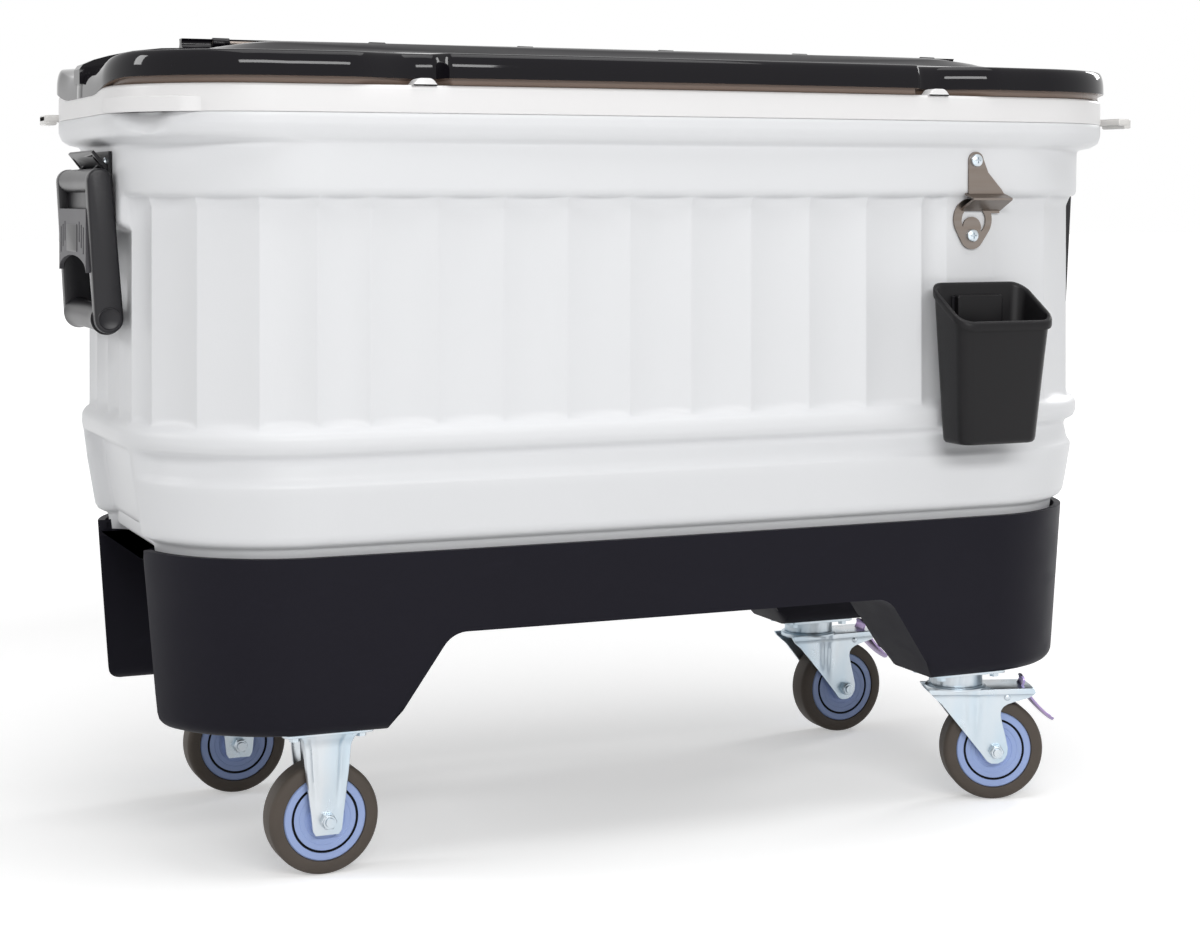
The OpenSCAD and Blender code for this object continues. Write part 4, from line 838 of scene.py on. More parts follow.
def lid_surface(plan):
    """Half of the cover: rows go from the flange up the side, round its edge and over the top to the hinge line. The
    top rises by a small slope, and a raised panel stands on it, with a round step at its ends and its front."""
    lid = chest().lid
    reach = plan.tub.rim_out + lid.lid_out
    near = lid.notch_x - NOTCH_NEAR
    half = between([0.0, near, near + NOTCH_STEP, lid.notch_x + NOTCH_FLAT, plan.side, plan.side + plan.corner,
                    plan.run], np.array([12, 0.8, 5, 5, 4, 4]) * MM)
    s = np.concatenate([-half[:0:-1], half])
    turn = np.linspace(0, QUARTER, 8)
    edge = LID_EDGE
    side_top = FRAME_TOP + lid.side_h
    side = [(0.0, z) for z in np.linspace(LID_FOOT + lid.flange_h, side_top - LID_BEND, 4)[:-1]]
    bend = [(edge * (1 - math.cos(a)), side_top - LID_BEND + LID_BEND * math.sin(a)) for a in turn]
    deepest = plan.half_y + LONG_SIDE * reach - lid.hinge_back
    step = deepest - (lid.panel_y - lid.hinge_back)
    ways = between([edge, step - PANEL_EDGE, step + PANEL_EDGE, deepest], 9 * MM)[1:]
    fine = np.linspace(step - PANEL_EDGE, step + PANEL_EDGE, 12)
    ways = np.unique(np.concatenate([ways[(ways < fine[0] - MM) | (ways > fine[-1] + MM)], fine]))
    rows = np.array(side + bend + [(w, side_top + CROWN_SLOPE * (w - edge)) for w in ways])
    inwards, z = rows[:, :1], rows[:, 1:]
    fade = 1 - smooth((inwards - edge) / NOTCH_FADE)
    flat = plan.points(s, reach - inwards, 1.0)
    whole_x = plan.half_x + reach
    x = flat[..., 0] * (whole_x - END_SHARE * inwards) / (whole_x - inwards)
    x = x * (1 - END_TUCK / whole_x)
    y = flat[..., 1]
    widest = np.max(np.abs(y), axis=1, keepdims=True)
    back = lid.hinge_back
    y = -back + y * np.clip((widest - back) / widest, 0, 1)
    y = y + lid.notch_depth * notch_share(x, lid) * fade * (np.abs(s) < plan.side + NOTCH_END * plan.corner)
    y = np.minimum(y, -back)
    on_panel = smooth((lid.panel_y - np.abs(y)) / (2 * PANEL_EDGE) + 0.5)
    on_panel = on_panel * smooth((lid.panel_x + PANEL_EDGE - np.abs(x)) / PANEL_RAMP)
    z = z + lid.panel_h * on_panel * (inwards > edge) - lid_droop(x, y, inwards)
    return s, np.stack([x, y, np.broadcast_to(z, x.shape)], axis=-1)


class ICE_CHEST_OT_lids(Operator):
    """Makes the two smoked lids with their flanges"""

    bl_idname = "ice_chest.lids"
    bl_label = "Lids"

    def execute(self, context):
        plan = Outline()
        lid = chest().lid
        s, dome = lid_surface(plan)
        low_edge = dome[0]
        tucked = plan.points(s, plan.tub.rim_out + lid.lid_out - lid.flange_in, 1.0)
        widest = np.max(np.abs(tucked[:, 1]))
        y = -lid.hinge_back + tucked[:, 1] * (widest - lid.hinge_back) / widest
        y = np.minimum(y + lid.notch_depth * notch_share(tucked[:, 0], lid), -lid.hinge_back)
        tucked = tucked * (1 - END_TUCK / (plan.half_x + plan.tub.rim_out + lid.lid_out))
        tuck = np.stack([tucked[:, 0], y, low_edge[:, 2]], axis=-1)
        foot = tuck - [0, 0, lid.flange_h]
        # Mark 1 gives the flange its painted light: brown for the light shining through the thin smoked plastic
        flange = sheet(np.stack([foot, tuck, mix(tuck, low_edge, 0.9)]), mark=1)
        lip = sheet(np.stack([mix(tuck, low_edge, 0.9), low_edge]))
        back = np.concatenate([foot[:1], tuck[:1], dome[:, 0], dome[-1, 1:-1], dome[::-1, -1], tuck[-1:], foot[-1:]])
        patches = [sheet(dome), flange, lip, cap(back)]
        for name, turn, body in (("front_lid", UNTURNED, "front_cover"), ("back_lid", HALF_TURN, "back_cover")):
            piece = make(name + "_shell", turned(patches, turn), ["lid", "flange"], body,
                         [name], crease=50.0)
            thicken(piece, lid.wall)
        self.end_caps(np.concatenate([foot[:1], tuck[:1], dome[:, 0]]), lid)
        return {"FINISHED"}

    def end_caps(self, profile, lid):
        """Blocks between the lids at both ends of the hinge beam, flush with the lids: their outline is the lids'
        profile along the beam, which starts at the foot of the end."""
        profile = np.abs(profile[:, [0, 2]])
        end = profile[:, 0].max()
        outer = profile[profile[:, 0] > end - CAP_REACH]
        inner = [[outer[-1, 0], FRAME_TOP + MM], [end - 9 * MM, FRAME_TOP + MM], [end - 8 * MM, outer[0, 1]]]
        wide = 2 * lid.hinge_back - 1.4 * MM
        block = turned(slab(np.concatenate([outer, inner]), wide, 0.2 * MM), FACING_FRONT, (0, wide / 2, 0))
        make("hinge_end_caps", doubled(block, HALF_TURN), ["lid"], "lid_carrier")


class ICE_CHEST_OT_lid_frame(Operator):
    """Makes the white frame under the lids, with its finger flanges and lid stops"""

    bl_idname = "ice_chest.lid_frame"
    bl_label = "Lid frame"

    def execute(self, context):
        plan = Outline()
        tub, lid = plan.tub, chest().lid
        s = plan.walk(10 * MM)
        gap, lip, wall = 0.3 * MM, 8 * MM, TUB_WALL
        low = RIM_TOP + gap
        turn = np.linspace(0, QUARTER, 5)
        edge = 3.5 * MM
        outer = [[tub.rim_out - 0.8 * MM, low, 1], [tub.rim_out, low + 0.8 * MM, 1]]
        outer += [[tub.rim_out - edge * (1 - math.cos(a)), FRAME_TOP - edge * (1 - math.sin(a)), 1] for a in turn]
        inner = -wall - gap
        rows = outer + [[inner - 5 * MM, FRAME_TOP, 0], [inner - 5 * MM, RIM_TOP - lip, 0],
                        [inner, RIM_TOP - lip, 0], [inner, low, 0]]
        rows = np.array(rows)
        grid = full_loop(raised(plan.points(s, rows[:, :1], rows[:, 2:]), rows[:, 1:2]))
        patches = [sheet(grid, wrap_rows=True, wrap_columns=True)]
        patches += self.bars(plan) + self.finger_flange(plan) + self.stops(plan, lid)
        make("lid_frame_moulding", patches, ["frame"], "lid_carrier", ["lid_frame"])
        self.tabs(plan)
        return {"FINISHED"}

    def bars(self, plan):
        """The two blocks that carry the beam's ends."""
        length, half = 48 * MM, 24 * MM
        near = plan.half_x - TUB_WALL
        outline = rounded([[near - length, -half], [near + 6 * MM, -half], [near + 6 * MM, half],
                           [near - length, half]], 3 * MM)
        block = moved(slab(outline, FRAME_TOP - RIM_TOP - 1 * MM, 1 * MM), (0, 0, RIM_TOP + 0.5 * MM))
        return doubled(block, HALF_TURN)

    def finger_flange(self, plan):
        """A thicker lower edge that juts over the finger scoop: the frame's outline, pushed out by a bump along the
        walk."""
        tub = plan.tub
        middle = -(plan.side + plan.corner * SCOOP_PLACE)
        s = np.linspace(middle - FLANGE_BEFORE * plan.corner, middle + FLANGE_AFTER * plan.corner, 61)
        share = smooth(np.minimum((s - s[0]) / (5 * MM), (s[-1] - s) / (22 * MM)))
        rows = [(-8, 0.3), (0, 0.3), (1, 1), (1, 11), (0.6, 13), (-8, 14.5)]
        grid = np.array([raised(plan.points(s, tub.rim_out - 0.5 * MM + np.minimum(0, out) * MM
                                            + FLANGE_OUT * share * (out >= 0), 1.0), RIM_TOP + z * MM)
                         for out, z in rows])
        return doubled([sheet(grid, wrap_rows=True), cap(grid[:, 0]), cap(grid[:, -1])], HALF_TURN)

    def stops(self, plan, lid):
        """Low lugs on top of the frame that stand in the lids' finger notches."""
        half, deep, high = 12 * MM, 16 * MM, 6.6 * MM
        outline = rounded([[-half, 0], [half, 0], [half - 5 * MM, high], [5 * MM - half, high]],
                          [0.4 * MM, 0.4 * MM, 3.5 * MM, 3.5 * MM])
        lug = slab(outline, deep, 1 * MM)
        patches = []
        for side in (-1, 1):
            x = side * (lid.notch_x - NOTCH_NEAR + NOTCH_STEP + half)
            bow = plan.tub.rim_bow * (x / plan.half_x) ** 2
            y = -(plan.half_y + LONG_SIDE * (plan.tub.rim_out - 1.2 * MM) - bow) + deep / 2
            patches += turned(lug, FACING_FRONT, (x, y + deep / 2 - 1 * MM, FRAME_TOP - 0.4 * MM))
        return doubled(patches, HALF_TURN)

    def tabs(self, plan):
        """The milky tabs at the ends: a plate with round outer corners that widens towards the frame, with a thicker
        tip."""
        _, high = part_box("frame_tabs")
        tab_x, tab_y = high.x - 4 * MM, plan.half_y - TAB_ASIDE
        near = plan.half_x + plan.tub.rim_out - 3 * MM
        tab = self.tab_plate(tab_x, tab_y, near, 2 * MM, 7 * MM, RIM_TOP + 0.3 * MM)
        tab += self.tab_plate(tab_x, tab_y, tab_x - 11 * MM, 0, 10 * MM, RIM_TOP - 2.7 * MM)
        far = turned(tab, HALF_TURN, (TAB_BACK, 0, 0))
        make("end_tabs", tab + far, ["tab"], "lid_carrier", ["frame_tabs"])

    def tab_plate(self, tab_x, tab_y, near, spread, depth, z):
        """A plate from x near to tab_x, wider by the spread on each side of its root."""
        foot, tip = TAB_HALF + spread, TAB_HALF
        outline = rounded([[near, -tab_y - foot], [tab_x, -tab_y - tip], [tab_x, -tab_y + tip],
                           [near, -tab_y + foot]], TAB_CORNERS)
        return moved(slab(outline, depth, 1.6 * MM), (0, 0, z))


# Base

# The end gaps between the legs: where they start, the radius at their top, their height, and the recess above them
GAP_REACH, GAP_RADIUS = 425 * MM, 9 * MM
GAP_HEIGHT = FOOT_Z - LEG_Z - 1.5 * MM
GAP_RECESS, GAP_FLANK = 50 * MM, 8 * MM
# Radius at the foot of a leg beside the gap
FOOT_ROUND = 15 * MM
# Rounds of finding the lower edge, the heights of the wall's rows as shares, how far round a corner the fine
# columns start, and the distance that still counts as on the edge
RISE_STEPS = 24
WALL_SHARES = np.array([0.0, 0.12, 0.3, 0.5, 0.7, 0.86, 0.95, 1.0])[:, None]
CORNER_FINE = 0.62
TOUCHING = 1e-9


def arch_rise(x, bottom, top, height, radius):
    """An arch's height at x from its middle: flat on top, an arc of the radius at the corner, then a slope."""
    x = np.abs(x)
    slope = (bottom - top) / 2 / height
    round_part = QUARTER - math.atan(slope)
    centre = top / 2 - radius * math.tan(round_part / 2)
    arc = height - radius + np.sqrt(np.clip(radius ** 2 - (x - centre) ** 2, 0, None))
    line = (bottom / 2 - x) / slope
    rise = np.where(x < centre, height, np.where(x < centre + radius * math.sin(round_part), arc, line))
    return np.clip(rise, 0, height)


class ICE_CHEST_OT_base(Operator):
    """Makes the dark legged base"""

    bl_idname = "ice_chest.base"
    bl_label = "Base"

    def execute(self, context):
        plan, base = Outline(), chest().base
        s = self.walk(plan, base)
        rise = self.rise(plan, base, s)
        level = plan.points(s, -base.inset)
        high = np.where(np.abs(level[:, 1]) < base.gap_top / 2, FOOT_Z, BASE_TOP)
        recess = GAP_RECESS * smooth((base.gap_top / 2 - np.abs(level[:, 1])) / GAP_FLANK)
        recess = recess * (np.abs(level[:, 0]) > GAP_REACH)
        a = np.linspace(0, QUARTER, 8)[:-1, None]
        edge = LEG_Z + rise + base.bottom_r * (1 - np.cos(a))
        z = np.concatenate([edge, mix(LEG_Z + rise + base.bottom_r, high, WALL_SHARES)])
        wall = full_loop(raised(plan.points(s, self.reach(base, z) - recess), z))
        inner = plan.points(s, -base.inset - base.wall - recess)
        lip = full_loop(np.array([raised(inner, high), raised(inner, FOOT_Z)]))
        patches = [sheet(wall, wrap_columns=True), sheet(np.concatenate([wall[-1:], lip]), wrap_columns=True),
                   cap(lip[-1])]
        under = self.underside(base, wall[0, :len(s)])
        patches += [sheet(under), sheet(under * [-1, -1, 1])]
        piece = make("base_moulding", patches, ["base"], "chest", ["wheel_base"], crease=32.0)
        soften_edges(piece, 1.6 * MM)
        return {"FINISHED"}

    def walk(self, plan, base):
        """Walk values, the same on both sides of the middle, with one at each corner of the arches."""
        foot, top = base.arch_bottom / 2, base.arch_top / 2
        fine = np.linspace(top - 0.8 * base.arch_r, top + 0.4 * base.arch_r, 17)
        start = plan.side + CORNER_FINE * plan.corner
        knots = [fine[-1], foot, plan.side, start, plan.side + plan.corner, plan.run]
        half = np.concatenate([between([0.0, fine[0]], 25 * MM)[:-1], fine[:-1],
                               between(knots, np.array([12, 12, 7, 2, 12]) * MM)])
        return np.concatenate([-half[:0:-1], half])[:-1]

    def rise(self, plan, base, s):
        """Height of the base's lower edge above the leg bottoms. The wall's place there depends on the height itself,
        so each step goes half way to the height of the arches at the last place."""
        rise = np.zeros(len(s))
        for _ in range(RISE_STEPS):
            place = plan.points(s, self.reach(base, LEG_Z + rise))
            rise = (rise + self.arches(base, place[:, 0], place[:, 1])) / 2
        return rise

    def arches(self, base, x, y):
        """Height of the underside at a point of the plan: the long arch, or the end gap, which is open up to the tub
        near the ends. A quarter circle rounds the foot of each leg beside the gap."""
        gap = np.where(np.abs(x) > GAP_REACH, *[arch_rise(y, base.gap_bottom, base.gap_top, height, GAP_RADIUS)
                                                for height in (GAP_HEIGHT, base.arch_h)])
        back = np.clip(base.gap_bottom / 2 + FOOT_ROUND - np.abs(y), 0, FOOT_ROUND)
        foot = FOOT_ROUND - np.sqrt(FOOT_ROUND ** 2 - back ** 2)
        foot = np.where(np.abs(y) < base.gap_top / 2, 0, foot)
        return np.maximum(arch_rise(x, base.arch_bottom, base.arch_top, base.arch_h, base.arch_r),
                          np.maximum(gap, foot))

    def reach(self, base, z):
        """Distance from the fluted walls: the inset, the draft from top to bottom and the bottom edge's arc."""
        above = z - LEG_Z
        draft = base.draft * (1 - np.clip((above - base.bottom_r) / (BASE_TOP - LEG_Z - base.bottom_r), 0, 1))
        depth = np.clip(base.bottom_r - above, 0, base.bottom_r)
        arc = base.bottom_r - np.sqrt(np.clip(base.bottom_r ** 2 - depth ** 2, 0, None))
        return -base.inset - draft - arc

    def underside(self, base, edge):
        """Rows from the lower edge to the middle line: at each y the height is that of the arches there."""
        foot = base.gap_bottom / 2 + FOOT_ROUND * (1 - np.cos(np.linspace(0, QUARTER, 6)))
        y_levels = between([0.0, 0.36 * base.gap_top, base.gap_top / 2, base.gap_bottom / 2], 4 * MM)
        y_levels = -np.concatenate([y_levels, foot[1:]])[::-1]
        y = np.maximum(edge[None, :, 1], y_levels[:, None])
        x = np.broadcast_to(edge[None, :, 0], y.shape)
        z = LEG_Z + self.arches(base, x, y)
        z = np.where(y <= edge[None, :, 1] + TOUCHING, edge[None, :, 2], z)
        return np.concatenate([edge[None], np.stack([x, y, z], axis=-1)])


# Casters

# How far each caster is turned about the upright line through its wheel's middle
STANDS = {"front_left": 0.0, "rear_left": 0.0, "front_right": math.radians(-19), "rear_right": 0.0}
# The wheels' profile, in millimetres
WHEEL_HALF, SHOULDER, BEAD, BORE = 15, 6, 0.8, 4.1
HUB_FACE = WHEEL_HALF - 0.6
CROWN_TOP = 62.4 * MM
PEDAL_PIN = np.array([12.0, 0.0, 54.0]) * MM


def wheel_patches(caster, wheel_r):
    """Tyre and hub about the Y axis, at the origin: profiles of (radius, distance from the middle plane)."""
    half, face, rise = WHEEL_HALF, HUB_FACE, WHEEL_HALF + 3
    wheel, hub_r, cut = wheel_r / MM, caster.hub_d / 2 / MM, caster.groove_r / MM
    side = [(hub_r, half - 2), (hub_r + BEAD, half - 0.2), (hub_r + 2, half), (wheel - SHOULDER - 1, half - 0.3)]
    side += [(wheel - SHOULDER + SHOULDER * math.sin(q), half - SHOULDER + (SHOULDER - 0.5) * math.cos(q))
             for q in np.linspace(0, QUARTER, 7)]
    tyre = np.array(side + [(r, -h) for r, h in reversed(side)] + side[:1]) * MM
    hub = [(BORE, rise), (13, rise), (14, rise - 0.6), (15, face - 1.4), (18.4, face - 1.2), (19, face - 0.8),
           (23.4, face - 0.6), (24, face - 0.2), (cut - 2.7, face), (cut - 2.2, face - 0.4)]
    groove = [hub[-1], (cut - 2.2, face - 4), (cut, face - 4), (cut, face - 0.4)]
    rim = [groove[-1], (cut + 0.4, face), (hub_r - 1, face), (hub_r, face - 1), (hub_r, 0.0)]
    # Mark 1 colours the groove's walls with the painted shade
    parts = [lathe(np.array(profile) * [MM, sign * MM], 96, mark)
             for sign in (1, -1) for profile, mark in ((hub, 0), (groove, 1), (rim, 0))]
    bore = lathe(np.array([(BORE, rise), (BORE, -rise)]) * MM, 96)
    return turned([lathe(tyre, 120)], FACING_FRONT), turned(parts + [bore], FACING_FRONT)


def axle_place(corner):
    """The middle of a caster's wheel."""
    low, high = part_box(corner + "_tyre")
    return np.array((low + high) / 2)


def fixed_cheek(drop):
    """One cheek of a fixed fork, facing the front. At height v its half width narrows in steps from the plate to
    the axle, and two shallow channels run down beside a flat middle."""
    v = np.concatenate([np.linspace(-13, -9, 4), np.linspace(-6, drop / MM, 34)]) * MM
    wide = softened(v, np.array([-13, -9, 6, 0.5 * drop / MM, drop / MM - 12, drop / MM - 3, drop / MM + 1]) * MM,
                    np.array([10.5, 13.5, 15, 19.5, 22, 25, 29]) * MM, 1.5 * MM)
    u = np.concatenate([np.linspace(-1, -0.9, 3), np.linspace(-0.82, 0.82, 21), np.linspace(0.9, 1, 3)])
    up = np.clip(v / drop, 0, 1)[:, None]
    channel = np.exp(-((np.abs(u) - 0.62) / 0.14) ** 2)[None, :]
    swell = 2.2 * MM * smooth((up - 0.12) / 0.5) * (1 - channel) * (np.abs(u) < 0.97)[None, :]
    swell = swell - 0.8 * MM * smooth((up - 0.1) / 0.2) * channel
    flare = 5 * MM * smooth((up - 0.86) / 0.14)
    x = u[None, :] * wide[:, None]
    y = -(swell + flare + 0 * x)
    return np.stack([x, y, np.broadcast_to(v[:, None], x.shape)], axis=-1)


def swivel_cheek():
    """One cheek of a swivel fork, facing the front, with the axle at the origin. Its left edge slants, its right edge
    swings in under a nose, and a rib is pressed out beside the stem."""
    z = np.array([-12.6, -12.2, -10.5, -8, -4, 3, 12, 24, 36, 41, 44.5, 47, 49, 51, 53, 56, 59, 61, 62.4])
    left = np.array([-3.5, -5.5, -8.2, -10.3, -13.2, -18.8, -26, -35.6, -45.2, -49.2, -52, -54, -56, -58.5, -61, -64,
                     -66.5, -67.7, -68])
    right = np.array([1.5, 3.8, 7, 9.4, 11.7, 12.4, 10.6, 7.6, 5, 5.6, 8, 12, 18, 26, 34, 38.8, 40.6, 39.8, 39])
    v = between(z, 2.0)
    edges = [softened(v, z, edge, 0.5)[:, None] for edge in (left, right)]
    x = mix(*edges, np.linspace(0, 1, 41)[None, :])
    upper = smooth((v[:, None] - 6) / 26)
    rib = np.exp(-((x + 21 - 0.06 * v[:, None]) / 3.0) ** 2) * 1.7 * upper
    panel = smooth((-26 - x) / 6) * smooth((v[:, None] - 14) / 18) * 1.6
    rim = smooth((v[:, None] - 55) / 3) * 2.4
    y = -(rib + rim - panel)
    return np.stack([x, y, np.broadcast_to(v[:, None], x.shape)], axis=-1) * MM


def cheeks(grid, wall, gap):
    """A cheek of sheet metal: an outer grid and the same grid set back along +Y by the wall, at its place beside the
    wheel, with the same cheek on the other side."""
    cheek = plate(grid, grid + [0, wall, 0])
    return doubled(moved(cheek, (0, -gap / 2 - wall, 0)), MIRROR_Y)


class ICE_CHEST_OT_casters(Operator):
    """Makes the wheels, forks and brake levers of the four casters"""

    bl_idname = "ice_chest.casters"
    bl_label = "Casters"

    def execute(self, context):
        caster = chest().caster
        for corner in STANDS:
            self.wheel(caster, corner)
        for corner in ("front_left", "rear_left"):
            self.fixed_fork(caster, corner)
        for corner in ("front_right", "rear_right"):
            self.swivel_fork(caster, corner)
            self.brake(corner)
        return {"FINISHED"}

    def wheel(self, caster, corner):
        """Tyre and hub at the axle, turned as the caster stands."""
        low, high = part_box(corner + "_tyre")
        tyre, hub = (turned(part, about_z(STANDS[corner]), axle_place(corner))
                     for part in wheel_patches(caster, (high.z - low.z) / 2))
        body = corner + "_wheel"
        make(corner + "_tread", tyre, ["tyre"], body, [corner + "_tyre"], 30.0)
        make(corner + "_hub_cap", hub, ["hub", "groove"], body, [corner + "_hub"], 30.0)

    def fixed_fork(self, caster, corner):
        """A plate with two cheeks that flare into it."""
        low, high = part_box(corner + "_fork")
        axle = axle_place(corner)
        drop = high.z - caster.sheet_t - axle[2]
        both = cheeks(fixed_cheek(drop), caster.sheet_t, caster.fork_gap)
        wide, deep = (high.x - low.x) / 2, (high.y - low.y) / 2
        corners = [[-wide, -deep], [wide, -deep], [wide, deep], [-wide, deep]]
        top = moved(slab(rounded(corners, 8 * MM), 3 * MM, 0.8 * MM), (0, 0, drop))
        make(corner + "_bracket", moved(both + top, axle), ["zinc"], "chest", [corner + "_fork"])

    def swivel_fork(self, caster, corner):
        """Two slanted cheeks under a domed crown with a raceway, drawn round the axle."""
        both = cheeks(swivel_cheek(), caster.sheet_t, caster.fork_gap)
        half = caster.fork_gap / 2 + caster.sheet_t + 2.2 * MM
        stem = -caster.trail
        nose = rounded([[40 * MM, -half], [41 * MM, 0], [40 * MM, half], [stem - 6 * MM, half],
                        [stem - 31 * MM, 0.5 * half], [stem - 31 * MM, -0.5 * half], [stem - 6 * MM, -half]],
                       np.array([6, 2, 6, 12, 8, 8, 12]) * MM)
        crown = moved(slab(nose, 3 * MM, 1.2 * MM), (0, 0, CROWN_TOP - 2.4 * MM))
        race = caster.race_d / 2 / MM
        profile = np.array([(race + 4.5, 0), (race + 4.2, 1.4), (race + 2.8, 2.4), (race + 0.6, 2.8), (race - 1, 2.2),
                            (race - 4, 2.0), (race - 4, 0), (race + 4.5, 0)]) * MM
        raceway = moved([lathe(profile)], (stem, 0, CROWN_TOP))
        patches = both + crown + raceway + self.rivet(caster)
        make(corner + "_yoke", turned(patches, about_z(STANDS[corner]), axle_place(corner)), ["zinc"],
             corner + "_swivel", [corner + "_fork"])

    def rivet(self, caster):
        """The brake's rivet head on both cheeks."""
        profile = np.array([(0.0, 1.8), (1.6, 1.6), (2.8, 1.0), (3.4, 0.0), (3.4, -1.0), (0.0, -1.0)]) * MM
        head = turned([lathe(profile, 24)], FACING_FRONT,
                      PEDAL_PIN - [0, caster.fork_gap / 2 + caster.sheet_t, 0])
        return doubled(head, MIRROR_Y)

    def brake(self, corner):
        """A pressed lever: a strip whose side view is a path from the pin out to the pedal's tip, as wide as a
        rounded tongue, with a shallow hollow along it, and a release tab that curls up."""
        path = np.array([[-8, 3], [4, 4.5], [16, 4.5], [24, 1], [31, -8], [40, -17], [47, -23], [52.4, -26.2]])
        pedal = self.strip(path, np.array([15.5, 15.5, 15.5, 15, 14, 14.5, 12, 6]), 2.2, 1.6)
        path = np.array([[12, 4.5], [17, 7], [20, 11], [21, 15], [18.5, 18.6]])
        tab = self.strip(path, np.array([9.5, 9.5, 9.5, 9, 6.5]), 2.0, 0.8)
        shoe = rounded([[-4, -2], [5, -1.5], [14, -6.4], [17.4, -4.5], [18, 3], [-6, 3.5]], 1.2) * MM
        shoe = turned(slab(shoe, 24 * MM, 0.6 * MM), FACING_FRONT, (0, 12 * MM, 0))
        patches = moved(pedal + tab + shoe, PEDAL_PIN)
        make(corner + "_pedal_lever", turned(patches, about_z(STANDS[corner]), axle_place(corner)),
             ["tinted"], corner + "_pedal", [corner + "_brake"])

    def strip(self, path, wide, thick, hollow):
        """A pressed strip along a path in the XZ plane: across it the height falls as a parabola by the hollow."""
        t = np.linspace(0, len(path) - 1, 40)
        knots = np.arange(len(path))
        x, z = (softened(t, knots, path[:, i], 0.45) for i in (0, 1))
        w = softened(t, knots, wide, 0.3)
        u = np.linspace(-1, 1, 13)
        dx, dz = np.gradient(x), np.gradient(z)
        length = np.hypot(dx, dz)
        nx, nz = -dz / length, dx / length
        layers = []
        for lift in (thick / 2, -thick / 2):
            dip = lift - hollow * (1 - u[None, :] ** 2)
            layers.append(np.stack([x[:, None] + nx[:, None] * dip, w[:, None] * u[None, :],
                                    z[:, None] + nz[:, None] * dip], axis=-1) * MM)
        return plate(*layers)


# Handles and bin

SLOT_PLACES = np.array([36.0, 46.0, 56.0]) * MM
SLOT_HALF, SLOT_FLANK, SLOT_DEPTH = 1.9 * MM, 0.35 * MM, 3 * MM
BRIDGE_FOOT, BRIDGE_ARCH, BRIDGE_WALL = -84 * MM, 15 * MM, 4 * MM
BIN_ASIDE, CLIP_DEPTH = 6 * MM, 9 * MM
HANDLE_LEAN = 8.8 * MM
BIN_OUT = 8.5 * MM
# Insets of side, back and front, corner radius and height, for the bin's outside from the foot up to the slope
BIN_FOOT = [(22, 11, 24, 4, 0), (17, 6, 19, 8, 0), (14.2, 3.9, 16.2, 10.4, 0.8), (12.4, 2.6, 14.4, 12, 2.8),
            (11.5, 2, 13.5, 13, 6)]
BIN_RIM = [(3.4, 0, 3.4, 13, -9), (2.2, 0, 2.2, 13.6, -8.2), (0.4, 0, 0.4, 15.4, -7.6), (0, 0, 0, 16, -6.6),
           (0, 0, 0, 16, -1.6), (0.5, 0.3, 0.5, 15.5, -0.5), (1.5, 1, 1.5, 14.5, 0), (3.2, 2.6, 3.2, 13, 0),
           (4.2, 3.4, 4.2, 12, -0.6), (5, 3.8, 5, 11.5, -3)]
BIN_INSIDE = [(14, 4.6, 16, 11, 9), (16, 5.5, 18, 10, 5), (19, 8, 21, 7, 3), (24, 13, 26, 4, 2.5)]


def tapered(a, radius_a, b, radius_b):
    """The outline round two circles: an arc of each, joined by the tangents they share."""
    a, b = np.array(a), np.array(b)
    way = b - a
    turn, half = math.atan2(way[1], way[0]), math.acos((radius_a - radius_b) / np.linalg.norm(way))
    far, near = np.linspace(-half, half, 14), np.linspace(half, 2 * math.pi - half, 14)
    return np.concatenate([c + r * np.stack([np.cos(turn + q), np.sin(turn + q)], axis=1)
                           for c, r, q in ((b, radius_b, far), (a, radius_a, near))])


